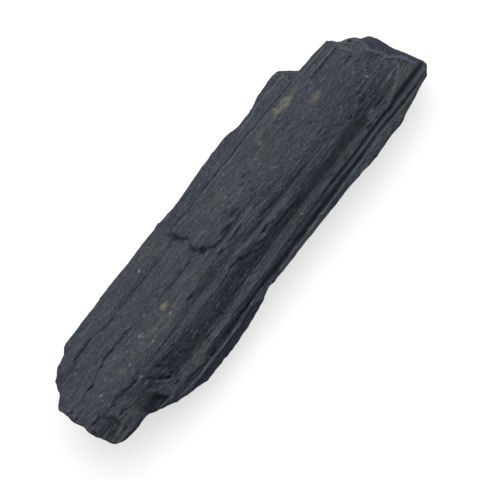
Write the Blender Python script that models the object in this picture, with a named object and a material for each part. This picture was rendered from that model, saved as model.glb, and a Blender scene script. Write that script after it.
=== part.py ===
"""A rough black tourmaline crystal, lying on its flattest prism face.

Run with blender --background --python part.py, or from Blender's text editor.

The crystal is a bundle of parallel columns that grew together into one solid, so its cross-section changes
little along X. Ridge lines that run its whole length give that cross-section. The skin is lofted across them,
both ends are broken off along a rough surface, and a ledge, hollows, columns and chips are worked into it.
Lengths are in millimetres until the mesh is made. X runs along the crystal, Y across it and Z up.
"""

import itertools
import math

import bpy
import numpy as np
from mathutils import Vector
from mathutils.geometry import delaunay_2d_cdt

MM = 0.001
NODE = "tourmaline_crystal"

# Driving dimensions of the whole crystal.
LENGTH = 89.9
WIDTH = 25.9
HEIGHT = 18.0

# Rings of points along the crystal: how many there are by each share of its length. Then the spacing of the
# points over a broken end, how many spacings they keep from its ring, and the triangulation's code for
# keeping to the inside of a ring, with its tolerance.
RING_COUNTS = (0, 20, 34, 42, 56, 64, 74)
RING_SHARES = (0, 0.20, 0.395, 0.435, 0.78, 0.84, 1)
CAP_SPACING = 1.2
CAP_MARGIN = 0.6
INSIDE_EDGES = 1
CAP_TOLERANCE = 1e-6

# Ridge lines as (name, facets, points). The points are (x, y, z), and the facets are those between this line
# and the next one. The lines go round the section over the top, from its left edge, then back underneath.
RIDGES = (
    ("brow", 5, (
        (-45, 10.9, 14.2), (-35, 10.95, 14.2), (-24, 11.2, 14.4), (-12, 11.5, 14.4), (-4.4, 11.4, 14.4),
        (4.6, 12.1, 14.2), (11.8, 12.35, 14.2), (14.5, 11.95, 14.4), (18.1, 12.0, 14.2), (21, 12.7, 14.0),
        (26.2, 12.9, 13.6), (26.9, 12.6, 13.4), (27.5, 11.9, 13.6), (28.3, 10.9, 13.8), (28.8, 10.1, 14.2),
        (29.1, 9.45, 14.8), (45, 9.3, 14.8))),
    ("shoulder_foot", 1, (
        (-45, 8.05, 15.8), (-8.6, 8.1, 16.0), (-7.6, 9.2, 16.0), (14, 9.4, 16.1), (24, 9.4, 16.1),
        (29.2, 8.8, 16.7), (37, 8.6, 16.7), (45, 8.4, 16.5))),
    ("shoulder", 6, (
        (-45, 7.65, 16.4), (-8.6, 7.7, 16.7), (-7.6, 8.85, 16.8), (14, 9.05, 17.1), (24, 8.9, 17.2),
        (30, 7.7, 17.3), (45, 7.5, 17.1))),
    ("seam", 1, (
        (-45, 2.7, 16.9), (-37.5, 2.8, 17.0), (-33, 4.0, 17.1), (-26, 4.1, 17.1), (-22, 3.4, 17.1),
        (-8, 3.4, 17.15), (-6, 3.5, 17.3), (14, 3.5, 17.6), (30, 3.5, 17.8), (45, 3.3, 17.4))),
    ("seam_foot", 5, (
        (-45, 2.3, 16.8), (-40, 2.3, 16.85), (-38.5, 2.4, 16.7), (-36, 2.8, 16.85), (-33, 3.6, 16.8),
        (-26, 3.7, 16.9), (-24, 3.4, 17.05), (-8, 3.0, 17.1), (-6, 3.0, 17.3), (14, 3.0, 17.6),
        (30, 3.0, 17.8), (45, 2.8, 17.4))),
    ("crown_edge", 2, (
        (-45, -2.0, 17.0), (-27.8, -1.8, 17.2), (-20, -1.8, 17.2), (-14, -0.4, 17.2), (-9, -0.1, 17.25),
        (-4, 0.2, 17.35), (0, -0.7, 17.3), (13, -0.8, 17.35), (22.6, -0.5, 17.4), (36, -0.4, 17.3),
        (45, -0.4, 17.1))),
    ("trough", 1, (
        (-45, -2.8, 16.75), (-27.8, -2.7, 17.0), (-20, -2.6, 16.95), (-14, -2.1, 16.7), (-9, -2.2, 16.55),
        (-4, -1.7, 16.8), (1, -2.5, 16.7), (11, -2.5, 16.8), (16, -2.1, 17.0), (22.6, -1.8, 17.15),
        (36, -1.6, 17.1), (45, -1.2, 16.9))),
    ("rib", 1, (
        (-45, -3.5, 16.5), (-27.8, -3.6, 16.8), (-20, -3.9, 16.9), (-14, -3.6, 16.7), (-9, -3.5, 16.55),
        (-4, -2.6, 16.8), (1, -3.3, 16.7), (11, -3.5, 16.75), (16, -3.3, 16.85), (22.6, -3.3, 16.95),
        (36, -2.9, 16.85), (45, -2.2, 16.6))),
    ("mid_flank", 5, (
        (-45, -3.9, 16.2), (-27.8, -4.2, 16.4), (-20, -4.6, 16.5), (-14, -4.4, 16.2), (-9, -4.1, 16.2),
        (-4, -3.2, 16.4), (1, -4.1, 16.3), (11, -4.3, 16.3), (22.6, -4.0, 16.5), (30, -3.9, 16.4),
        (36, -3.6, 16.4), (39, -3.4, 16.3), (45, -3.0, 16.2))),
    ("lower_flank", 3, (
        (-45, -5.6, 15.2), (-40, -5.7, 15.2), (-37, -5.2, 15.4), (-35, -6.2, 14.1), (-33, -7.0, 13.1),
        (-27.8, -7.7, 12.6), (-24, -7.8, 12.5), (-16, -7.3, 12.5), (-8, -6.9, 12.5), (0, -6.4, 12.6),
        (10, -6.0, 12.8), (18, -5.7, 13.1), (28, -5.45, 13.6), (33, -5.2, 14.3), (36, -5.0, 14.8),
        (38.5, -4.7, 15.5), (41, -4.4, 15.8), (45, -3.7, 15.8))),
    ("lip", 1, (
        (-45, -7.7, 14.8), (-36, -7.9, 14.8), (-35, -8.2, 13.0), (-31, -9.5, 12.1), (-24, -10.1, 12.1),
        (-20, -9.5, 12.35), (-16, -8.95, 12.35), (-8, -8.5, 12.35), (0, -8.1, 12.45), (8, -7.7, 12.65),
        (12.7, -7.65, 12.75), (16.7, -7.4, 12.95), (26, -7.15, 13.35), (31, -6.9, 13.8), (35, -6.85, 14.2),
        (37, -6.3, 14.8), (40, -6.2, 15.2), (45, -6.1, 15.2))),
    ("upper_groove", 1, (
        (-45, -7.9, 14.6), (-36, -8.05, 14.5), (-35, -8.4, 12.7), (-31, -9.7, 11.9), (-24, -10.3, 11.8),
        (-20, -9.7, 12.1), (-16, -9.2, 12.1), (-8, -8.75, 12.15), (0, -8.4, 12.25), (8, -8.0, 12.4),
        (12.7, -7.95, 12.35), (17, -7.7, 12.2), (24, -7.5, 12.3), (31, -7.25, 12.6), (35, -7.2, 12.9),
        (37.5, -6.85, 13.5), (40, -6.8, 13.8), (45, -6.6, 13.8))),
    ("partition", 1, (
        (-45, -8.05, 14.3), (-36, -8.15, 14.2), (-35, -8.5, 12.4), (-31, -9.95, 11.6), (-24, -10.6, 11.4),
        (-20, -10.1, 11.7), (-16, -9.6, 11.75), (-11, -9.3, 11.85), (-5, -9.0, 11.95), (0, -8.9, 12.0),
        (8, -8.7, 12.1), (12, -8.5, 12.15), (17, -8.3, 12.3), (20, -8.15, 12.5), (26.2, -8.1, 12.7),
        (36, -7.85, 13.3), (40, -7.7, 13.7), (45, -7.5, 13.9))),
    ("lower_groove", 1, (
        (-45, -8.15, 14.0), (-36, -8.25, 13.8), (-35, -8.6, 11.9), (-31, -10.3, 11.2), (-24, -10.85, 10.8),
        (-20, -10.7, 10.8), (-16, -10.5, 10.6), (-11, -9.85, 10.4), (-5, -9.55, 10.2), (0, -9.5, 10.2),
        (8, -9.3, 10.3), (14, -9.1, 10.5), (20, -8.8, 10.8), (25, -8.7, 11.1), (26.3, -8.7, 11.7),
        (29, -8.55, 11.8), (29.8, -8.5, 11.4), (36, -8.4, 11.8), (41, -8.1, 12.4), (45, -7.9, 12.7))),
    ("rim", 2, (
        (-45, -8.3, 13.5), (-36, -8.35, 13.2), (-35, -8.75, 11.6), (-31, -10.6, 10.9), (-27.8, -11.2, 11.1),
        (-24, -11.2, 11.2), (-16, -11.05, 11.1), (-11, -10.35, 11.0), (-5, -10.0, 10.9), (5, -9.85, 10.9),
        (14, -9.5, 11.1), (22, -9.15, 11.3), (29, -8.95, 11.7), (36, -8.7, 12.1), (41, -8.4, 12.6),
        (45, -8.15, 12.9))),
    ("brink", 2, (
        (-45, -8.4, 11.6), (-36, -8.45, 11.2), (-35.4, -8.5, 10.4), (-34.1, -9.3, 9.6), (-32, -9.7, 8.9),
        (-31.3, -10.3, 8.5), (-30.4, -10.95, 8.2), (-27, -11.9, 8.0), (-24, -12.75, 7.8), (-20, -12.9, 7.8),
        (-15, -12.75, 7.8), (-12, -12.45, 8.0), (-8.8, -11.95, 8.8), (-6.5, -11.5, 9.8), (-5, -10.95, 10.3),
        (-4.2, -10.7, 10.5), (0, -10.75, 10.5), (15, -10.6, 10.7), (33, -10.5, 11.2), (34.3, -10.3, 11.3),
        (36, -9.75, 11.6), (39, -9.3, 12.0), (41, -8.75, 12.2), (45, -8.3, 12.4))),
    ("right_furrow", 1, (
        (-45, -7.9, 6.6), (-34, -8.0, 6.2), (-30, -10.0, 5.8), (-20, -11.8, 5.6), (-11, -11.4, 5.6),
        (-4, -9.8, 6.0), (33, -9.6, 6.6), (45, -7.6, 8.4))),
    ("right_rib", 2, (
        (-45, -8.2, 5.8), (-34, -8.5, 5.2), (-29, -10.9, 4.8), (-20, -12.3, 4.6), (-11, -11.7, 4.6),
        (-4, -10.3, 5.0), (33, -10.1, 5.6), (45, -7.8, 7.2))),
    ("right_heel", 2, (
        (-45, -7.4, 3.2), (-34, -7.8, 2.8), (-28, -10.4, 2.6), (-20, -11.4, 2.4), (-11, -11.0, 2.4),
        (-4, -9.6, 2.8), (33, -9.2, 3.2), (40, -7.8, 3.8), (45, -6.8, 4.6))),
    ("right_sole", 5, (
        (-45, -5.2, 1.2), (-39, -5.8, 0), (-28, -8.2, 0), (-20, -9.0, 0), (-11, -8.6, 0), (-4, -7.4, 0),
        (33, -7.0, 0), (38.5, -6.2, 0), (45, -5.0, 1.5))),
    ("left_sole", 2, (
        (-45, 6.0, 1.0), (-39, 6.8, 0), (0, 7.6, 0), (26, 8.2, 0), (33, 6.8, 0), (38.5, 6.0, 0),
        (45, 5.2, 1.2))),
    ("left_heel", 2, (
        (-45, 9.4, 3.4), (-20, 10.2, 3.2), (0, 10.4, 3.2), (14, 10.9, 3.4), (25.6, 11.4, 3.6),
        (29, 8.9, 3.8), (45, 8.3, 4.4))),
    ("left_furrow", 1, (
        (-45, 9.6, 6.2), (-20, 10.2, 6.0), (0, 10.5, 6.2), (14, 10.9, 6.2), (25.6, 11.6, 6.0),
        (29, 8.8, 6.2), (45, 8.3, 6.6))),
    ("left_wall", 2, (
        (-45, 10.4, 7.4), (-20, 10.9, 7.2), (0, 11.3, 7.4), (14, 11.6, 7.4), (25.6, 12.2, 7.2),
        (28.4, 10.0, 7.8), (29.2, 9.2, 8.0), (45, 9.0, 8.2))),
    ("strip_furrow", 1, (
        (-45, 10.0, 10.8), (-20, 10.4, 11.0), (0, 10.6, 11.0), (14, 11.0, 11.0), (25.6, 11.8, 10.6),
        (28.4, 9.8, 11.0), (29.2, 9.0, 11.2), (45, 8.7, 11.4))),
    ("strip_rib", 1, (
        (-45, 10.7, 12.2), (-20, 11.1, 12.4), (0, 11.4, 12.2), (14, 11.6, 12.2), (25.6, 12.5, 11.8),
        (28.4, 10.3, 12.4), (29.2, 9.3, 12.8), (45, 9.1, 12.8))),
)

# Where each end is broken off, as (y, x) seen from above, and how high its top edge is, as (y, z).
LEFT_BREAK = (
    (-8.45, -40.0), (-8.3, -41.2), (-8.05, -42.0), (-7.6, -42.8), (-7.1, -43.3), (-6.4, -43.6), (-5.7, -43.7),
    (-4.6, -43.95), (-3.6, -44.3), (-2.8, -44.4), (-1.9, -44.5), (-0.9, -44.3), (0, -44.55), (0.8, -44.8),
    (1.6, -44.8), (2.6, -44.65), (3.4, -44.65), (4.5, -44.8), (5.1, -44.2), (5.7, -43.2), (6.2, -42.4),
    (7.0, -42.1), (7.6, -41.6), (8.25, -41.4), (8.5, -40.6), (9.0, -40.0), (9.6, -39.0), (9.75, -37.0),
    (10.3, -36.3), (10.9, -35.4), (12.0, -34.0))
LEFT_TOP = ((-8.4, 13.5), (-7.9, 14.5), (-5.4, 15.2), (-3.6, 16.2), (-2, 16.8), (2.5, 16.8), (7.7, 16.4),
            (9.5, 15.2), (11, 14.2))
RIGHT_EDGE = (
    (-8.6, 42.0), (-8.1, 43.4), (-7.4, 44.2), (-6.9, 44.3), (-6.3, 43.8), (-5.2, 43.2), (-4, 43.2),
    (-3, 42.8), (-2, 42.0), (-1, 41.2), (0, 40.8), (1.2, 40.4), (2.4, 40.0), (3.3, 40.3), (4.5, 40.1),
    (5.8, 39.8), (7.1, 38.0), (7.6, 37.5), (8.1, 37.2), (8.7, 37.0), (9.4, 36.3))
RIGHT_BULGE = (
    (-10.4, 34.0), (-9.8, 35.8), (-9.3, 39.0), (-8.95, 40.2), (-8.5, 41.6), (-8.3, 43.4), (-7.8, 44.4),
    (-7.2, 44.9), (-6.4, 44.9), (-5.2, 44.5), (-4.1, 44.2), (-3.4, 44.0), (-2.5, 43.7), (-1.3, 43.3),
    (0, 43.05), (1.2, 42.85), (2.5, 42.7), (3.4, 42.4), (4.1, 41.9), (4.45, 41.5), (4.6, 40.95), (4.9, 40.7),
    (5.7, 40.3), (6.4, 39.6), (7.0, 38.7), (7.25, 37.9), (7.6, 37.5), (8.1, 37.2), (9.4, 36.6))
RIGHT_TOP = ((-8.5, 12.4), (-7.2, 13.8), (-6.2, 15.0), (-5, 15.4), (-3.5, 15.9), (-2.4, 16.5), (-1, 16.8),
             (0.5, 17.0), (3.3, 17.2), (5, 17.0), (7.5, 16.6), (9.3, 14.8))

# The right end bulges out below its top edge, by the drop where it is widest, and is smoother down to there.
BULGE_DROP, BULGE_POWER = 3.0, 2.5
BULGE_ROUGHNESS = 0.15

# Both ends are undercut towards the sole. Splinters roughen them from a little below the top edge: their
# size, how far apart their ends are, how deep each is scalloped, and where the roughness starts and is full.
END_UNDERCUT = 1.2
SPLINTER_SIZE = 3.4
SPLINTER_STEP, SPLINTER_SCALLOP = 1.4, 1.7
SPLINTER_START, SPLINTER_DROP = 0.6, 3.0
LEFT_SEED, RIGHT_SEED = 11, 23

# The crown slopes down to the right end, from a line given as (y, x).
SLOPE_LINE = ((-5, 41.0), (-2.5, 40.2), (-0.5, 37.8), (0.5, 36.8), (2.5, 37.4), (4, 37.9), (5.5, 37.6),
              (7, 36.7), (9.4, 36.2))
SLOPE = 0.10

# A raised plate on the crown. Its outline is (x, y), and it fades into the crown towards +X.
PLATE = (
    (-7.9, 8.75), (-7.35, 8.0), (-7.45, 7.0), (-7.25, 6.2), (-6.95, 5.75), (-7.2, 5.2), (-7.35, 4.6),
    (-7.0, 4.0), (-6.95, 3.2), (-6.1, 2.95), (-5.6, 2.2), (-5.2, 1.75), (-4.5, 1.5), (-3.5, 1.3),
    (-2.5, 1.2), (-2.3, 1.6), (-1.7, 1.9), (-0.9, 2.1), (0.2, 1.9), (1.0, 1.55), (2.5, 1.6), (4.5, 1.6),
    (16.0, 2.6), (26.0, 9.4), (-6.0, 9.4))
PLATE_HEIGHT = 0.5
PLATE_WALL = 0.25
PLATE_FADE = (-6.0, 10.0)

# Hollows in the top: the outline as (x, y), then how deep each is on its +Y side and on its -Y side.
HOLLOWS = (
    (((-43.1, -2.0), (-41.6, -1.7), (-40.0, -2.6), (-39.4, -4.4), (-40.2, -5.8), (-42.7, -6.3),
      (-43.3, -4.6)), 0.2, 1.0),
    (((-35.4, -6.9), (-34.0, -7.3), (-31.6, -7.1), (-31.2, -8.0), (-30.7, -8.9), (-33.0, -9.1),
      (-34.9, -8.7), (-35.8, -7.9)), 1.2, 2.4),
)
HOLLOW_WALL = 0.4

# Places where chips were knocked out of the top: (x, y), half length, half width and depth. The chips' size,
# how far a place reaches and its chips blur its edge, and how much shallower each is at its crest.
BREAKAGES = (
    ((-28.2, -5.6), 3.2, 1.6, 0.7),
    ((-36.5, -3.6), 2.4, 1.4, 0.4),
    ((-11.5, -10.2), 5.5, 0.7, 0.5),
)
BREAKAGE_CHIP = 1.9
BREAKAGE_REACH, BREAKAGE_BLUR = 1.4, 0.5
BREAKAGE_CREST, BREAKAGE_MEAN = 0.6, 0.25
BREAKAGE_SEED = 31

# Relief of the skin: columns as (width, height), how much longer than wide they are, and how strong they are
# on the worn top. Then scallops, longer than wide too, in the patches where the skin is chipped.
COLUMNS = ((3.6, 0.30), (1.7, 0.12))
COLUMN_STRETCH = 16
COLUMN_MEAN = 0.5
COLUMN_SEED = 3
TOP_SHARE = 0.45
CHIP_SIZE = 3.2
CHIP_STRETCH = 1.6
CHIP_DEPTH = 0.40
CHIP_SEED = 9
PATCH_SIZE = 9.0
PATCH_SHARE = 0.35
PATCH_SEED = 8

# Large primes that mix a cell's whole numbers into a repeatable random number.
CELL_PRIMES = (73856093, 19349663, 83492791)
SEED_PRIME, MIX_PRIME = 2654435, 1274126177

# The relief fades to nothing near the flat sole: where it starts, and over how much height it grows to full.
SOLE_TOP, SOLE_FADE = 0.2, 2.0

# How many times an end's ring is moved onto its break, which depends on the ring's own height and place.
BREAK_PASSES = 6

# The stone's look: near black with a blue cast, and edges sharper than this many degrees stay sharp.
SLATE_BLACK = (0.025, 0.029, 0.036, 1)
DULL_GLASS_ROUGHNESS = 0.5
TOURMALINE_IOR = 1.64
SHARP_ANGLE = 30


def clear_scene():
    for obj in list(bpy.data.objects):
        bpy.data.objects.remove(obj)


def smoothstep(t):
    t = np.clip(t, 0, 1)
    return t * t * (3 - 2 * t)


def random_at(cell, seed):
    """A repeatable number from 0 to 1 for each whole-numbered cell."""
    a, b, c = (cell[..., k] * prime for k, prime in enumerate(CELL_PRIMES))
    mixed = a ^ b ^ c ^ seed * SEED_PRIME
    mixed = (mixed ^ (mixed >> 13)) * MIX_PRIME & 0xFFFFFFFF
    return ((mixed ^ (mixed >> 16)) & 0xFFFF) / 0xFFFF


def noise(points, seed):
    """Smooth noise from -1 to 1, one unit between its lattice points."""
    cell = np.floor(points).astype(np.int64)
    part = smoothstep(points - cell)
    total = 0
    for corner in itertools.product((0, 1), repeat=3):
        weight = np.prod(np.where(corner, part, 1 - part), axis=-1)
        total = total + weight * random_at(cell + corner, seed)
    return 2 * total - 1


def chips(points, seed):
    """Two values: 0 at a chip's middle to 1 at the crest round it, and the chip's own number from 0 to 1."""
    cell = np.floor(points).astype(np.int64)
    nearest = np.full(points.shape[:-1], np.inf)
    number = np.zeros(points.shape[:-1])
    for step in itertools.product((-1, 0, 1), repeat=3):
        here = cell + step
        centre = here + np.stack([random_at(here, seed + k) for k in range(3)], axis=-1)
        distance = ((points - centre) ** 2).sum(-1)
        number = np.where(distance < nearest, random_at(here, seed + 3), number)
        nearest = np.minimum(nearest, distance)
    return np.minimum(nearest, 1), number


def inside(x, y, outline):
    """Distance in millimetres from (x, y) to a closed outline, positive inside it."""
    distance = np.full(x.shape, np.inf)
    crossed = np.zeros(x.shape, bool)
    for (x0, y0), (x1, y1) in zip(outline, outline[1:] + outline[:1]):
        dx, dy = x1 - x0, y1 - y0
        along = np.clip(((x - x0) * dx + (y - y0) * dy) / (dx * dx + dy * dy), 0, 1)
        distance = np.minimum(distance, np.hypot(x - x0 - along * dx, y - y0 - along * dy))
        if dy:
            crossed ^= ((y0 > y) != (y1 > y)) & (x < x0 + (y - y0) * dx / dy)
    return np.where(crossed, distance, -distance)


def ridge_at(points, x):
    xs, ys, zs = zip(*points)
    return np.interp(x, xs, ys), np.interp(x, xs, zs)


def section(x):
    """The skin's y and z before its relief, for x with a row for each ring and a column for each facet."""
    y, z = np.empty_like(x), np.empty_like(x)
    column = 0
    for (_, facets, points), (_, _, next_points) in zip(RIDGES, RIDGES[1:] + RIDGES[:1]):
        for share in np.arange(facets) / facets:
            (y0, z0), (y1, z1) = ridge_at(points, x[:, column]), ridge_at(next_points, x[:, column])
            y[:, column] = y0 + share * (y1 - y0)
            z[:, column] = z0 + share * (z1 - z0)
            column += 1
    return y, z


def splinters(y, z, below, seed):
    """How far a hackly break is eaten back: each splinter ends at its own place and is scalloped."""
    crest, number = chips(np.stack([np.full_like(y, seed), y, z], axis=-1) / SPLINTER_SIZE, seed)
    rough = smoothstep((below - SPLINTER_START) / SPLINTER_DROP)
    return (SPLINTER_STEP * number + SPLINTER_SCALLOP * crest) * rough


def left_break(y, z):
    below = np.maximum(np.interp(y, *zip(*LEFT_TOP)) - z, 0)
    edge = np.interp(y, *zip(*LEFT_BREAK))
    return edge + END_UNDERCUT * below / HEIGHT + splinters(y, z, below, LEFT_SEED)


def right_break(y, z):
    below = np.maximum(np.interp(y, *zip(*RIGHT_TOP)) - z, 0)
    edge = np.interp(y, *zip(*RIGHT_EDGE))
    bulge = np.interp(y, *zip(*RIGHT_BULGE))
    out = 1 - (1 - np.minimum(below / BULGE_DROP, 1)) ** BULGE_POWER
    under = smoothstep((below - BULGE_DROP) / (HEIGHT - BULGE_DROP))
    eaten = splinters(y, z, below, RIGHT_SEED)
    roughness = BULGE_ROUGHNESS + (1 - BULGE_ROUGHNESS) * under
    return edge + (bulge - edge) * out - END_UNDERCUT * under - eaten * roughness


def faces_up():
    """1 for each column of points on the top, from the brow to the brink, and 0 for the others."""
    on_top = [name for name, _, _ in RIDGES].index("brink")
    return np.concatenate([np.full(facets, k <= on_top) for k, (_, facets, _) in enumerate(RIDGES)])


def column_relief(x):
    """Rounded columns with grooves between them, which keep to their own lines along the crystal."""
    y, z = section(np.zeros((1, x.shape[1])))
    place = np.stack(np.broadcast_arrays(x / COLUMN_STRETCH, y, z), axis=-1)
    out = sum(height * (2 * abs(noise(place / (1, width, width), COLUMN_SEED + k)) - COLUMN_MEAN)
              for k, (width, height) in enumerate(COLUMNS))
    return out * np.where(faces_up(), TOP_SHARE, 1)


def chip_relief(x, y, z):
    place = np.stack([x / CHIP_STRETCH, y, z], axis=-1)
    patch = smoothstep(noise(place / PATCH_SIZE, PATCH_SEED) + PATCH_SHARE)
    return -CHIP_DEPTH * patch * (1 - chips(place / CHIP_SIZE, CHIP_SEED)[0])


def hollow_depth(x, y, outline, shallow, deep):
    """The depth of one hollow, growing towards its -Y side."""
    ys = [point[1] for point in outline]
    share = np.clip((max(ys) - y) / (max(ys) - min(ys)), 0, 1)
    wall = smoothstep((inside(x, y, outline) + HOLLOW_WALL) / (2 * HOLLOW_WALL))
    return (shallow + (deep - shallow) * share) * wall


def breakage_depth(x, y, crest, centre, half_length, half_width, depth):
    reach = ((x - centre[0]) / half_length) ** 2 + ((y - centre[1]) / half_width) ** 2
    inner = smoothstep(BREAKAGE_REACH - reach + BREAKAGE_BLUR * crest)
    return depth * inner * (1 + BREAKAGE_CREST * (BREAKAGE_MEAN - crest))


def top_relief(x, y, z):
    """How far the plate stands above the top, less how deep the end's slope and the chipped places are."""
    plate = smoothstep((inside(x, y, PLATE) + PLATE_WALL / 2) / (2 * PLATE_WALL))
    fade = smoothstep((x - PLATE_FADE[0]) / (PLATE_FADE[1] - PLATE_FADE[0]))
    raised = PLATE_HEIGHT * plate * (1 - fade)
    raised = raised - SLOPE * np.maximum(x - np.interp(y, *zip(*SLOPE_LINE)), 0)
    crest, _ = chips(np.stack([x / CHIP_STRETCH, y, z], axis=-1) / BREAKAGE_CHIP, BREAKAGE_SEED)
    for breakage in BREAKAGES:
        raised = raised - breakage_depth(x, y, crest, *breakage)
    for hollow in HOLLOWS:
        raised = raised - hollow_depth(x, y, *hollow)
    return raised * faces_up()


def outward(y, z):
    """Unit directions out of the section, smoothed over the neighbouring facets."""
    dy = sum(np.roll(y, -k, axis=1) - np.roll(y, k, axis=1) for k in (1, 2))
    dz = sum(np.roll(z, -k, axis=1) - np.roll(z, k, axis=1) for k in (1, 2))
    size = np.hypot(dy, dz)
    return -dz / size, dy / size


def skin():
    """The skin's points as rings along the crystal, from the left break to the right one."""
    columns = sum(facets for _, facets, _ in RIDGES)
    left = np.full((1, columns), -LENGTH / 2)
    right = np.full((1, columns), LENGTH / 2)
    for _ in range(BREAK_PASSES):
        left = left_break(*section(left))
        right = right_break(*section(right))
    share = np.interp(np.arange(RING_COUNTS[-1] + 1), RING_COUNTS, RING_SHARES)
    x = left + (right - left) * share[:, None]
    y, z = section(x)
    clear_of_sole = smoothstep((z - SOLE_TOP) / SOLE_FADE)
    out = (column_relief(x) + chip_relief(x, y, z)) * clear_of_sole
    out_y, out_z = outward(y, z)
    return np.stack([x, y + out * out_y, np.maximum(z + out * out_z + top_relief(x, y, z), 0)], axis=-1)


def cap(ring, broken):
    """The points inside an end's ring, and the triangles over it, anticlockwise as seen from +X."""
    outline = [tuple(point) for point in ring[:, 1:]]
    low, high = ring[:, 1:].min(0), ring[:, 1:].max(0)
    y, z = np.meshgrid(np.arange(low[0], high[0], CAP_SPACING), np.arange(low[1], high[1], CAP_SPACING))
    y[::2] += CAP_SPACING / 2
    kept = inside(y, z, outline) > CAP_MARGIN * CAP_SPACING
    y, z = y[kept], z[kept]
    edges = [(i, (i + 1) % len(ring)) for i in range(len(ring))]
    spots = [Vector(spot) for spot in outline + list(zip(y, z))]
    _, _, triangles, sources, _, _ = delaunay_2d_cdt(spots, edges, [], INSIDE_EDGES, CAP_TOLERANCE)
    triangles = [[sources[corner][0] for corner in triangle] for triangle in triangles]
    return np.stack([broken(y, z), y, z], axis=-1), triangles


def fitted(points):
    """The points at the driving dimensions, with the origin at the bottom centre."""
    low, high = points.min(0), points.max(0)
    centre = np.array([(low[0] + high[0]) / 2, (low[1] + high[1]) / 2, low[2]])
    return (points - centre) * np.array([LENGTH, WIDTH, HEIGHT]) / (high - low)


def crystal_mesh():
    """The closed mesh: the skin, then the two broken ends."""
    rings = skin()
    columns = rings.shape[1]
    last = (len(rings) - 1) * columns
    faces = []
    for start in range(0, last, columns):
        for j in range(columns):
            k = (j + 1) % columns
            faces.append((start + j, start + k, start + columns + k, start + columns + j))

    points = [rings.reshape(-1, 3)]
    for ring, first, broken, turn in ((rings[0], 0, left_break, -1), (rings[-1], last, right_break, 1)):
        added, triangles = cap(ring, broken)
        inner = sum(len(part) for part in points) - columns
        faces += [[c + (first if c < columns else inner) for c in triangle[::turn]] for triangle in triangles]
        points.append(added)
    mesh = bpy.data.meshes.new(NODE)
    mesh.from_pydata((fitted(np.concatenate(points)) * MM).tolist(), [], faces)
    return mesh


def schorl():
    """Black tourmaline, with a dull glassy shine."""
    material = bpy.data.materials.new("schorl")
    material.use_nodes = True
    shader = material.node_tree.nodes["Principled BSDF"]
    shader.inputs["Base Color"].default_value = SLATE_BLACK
    shader.inputs["Metallic"].default_value = 0
    shader.inputs["Roughness"].default_value = DULL_GLASS_ROUGHNESS
    shader.inputs["IOR"].default_value = TOURMALINE_IOR
    return material


def build():
    clear_scene()
    mesh = crystal_mesh()
    mesh.materials.append(schorl())
    mesh.shade_smooth()
    mesh.set_sharp_from_angle(angle=math.radians(SHARP_ANGLE))
    crystal = bpy.data.objects.new(NODE, mesh)
    bpy.context.scene.collection.objects.link(crystal)


build()
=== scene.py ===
"""The looks of a rough black tourmaline crystal, around its plain solid.

The skin is lofted across the same ridge lines as the solid, ten times finer, with the striations, cracks,
crests, pits and chips that the solid is too coarse for. The stone, the floor, the camera and the light come
after it. Lengths are in millimetres until a mesh or an object is made.
"""
import itertools
import math

import bpy
import numpy as np
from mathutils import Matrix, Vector
from mathutils.geometry import delaunay_2d_cdt


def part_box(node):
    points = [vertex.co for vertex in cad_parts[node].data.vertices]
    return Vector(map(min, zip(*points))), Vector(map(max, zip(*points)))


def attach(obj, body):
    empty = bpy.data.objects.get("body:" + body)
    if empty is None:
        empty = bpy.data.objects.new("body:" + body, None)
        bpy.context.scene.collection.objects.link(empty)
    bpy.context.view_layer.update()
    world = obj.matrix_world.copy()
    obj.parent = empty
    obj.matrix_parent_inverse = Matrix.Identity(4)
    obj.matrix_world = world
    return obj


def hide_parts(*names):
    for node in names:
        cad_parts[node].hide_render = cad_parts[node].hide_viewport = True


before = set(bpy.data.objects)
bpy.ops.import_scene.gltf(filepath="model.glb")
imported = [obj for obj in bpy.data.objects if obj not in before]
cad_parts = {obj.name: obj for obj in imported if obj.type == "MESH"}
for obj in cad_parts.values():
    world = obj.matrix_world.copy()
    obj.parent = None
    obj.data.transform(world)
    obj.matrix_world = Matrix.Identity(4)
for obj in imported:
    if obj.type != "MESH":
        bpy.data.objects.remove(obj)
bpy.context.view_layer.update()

MM = 0.001
NODE = "tourmaline_crystal"

# The solid's own length and height.
LENGTH, HEIGHT = 89.9, 18.0

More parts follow.
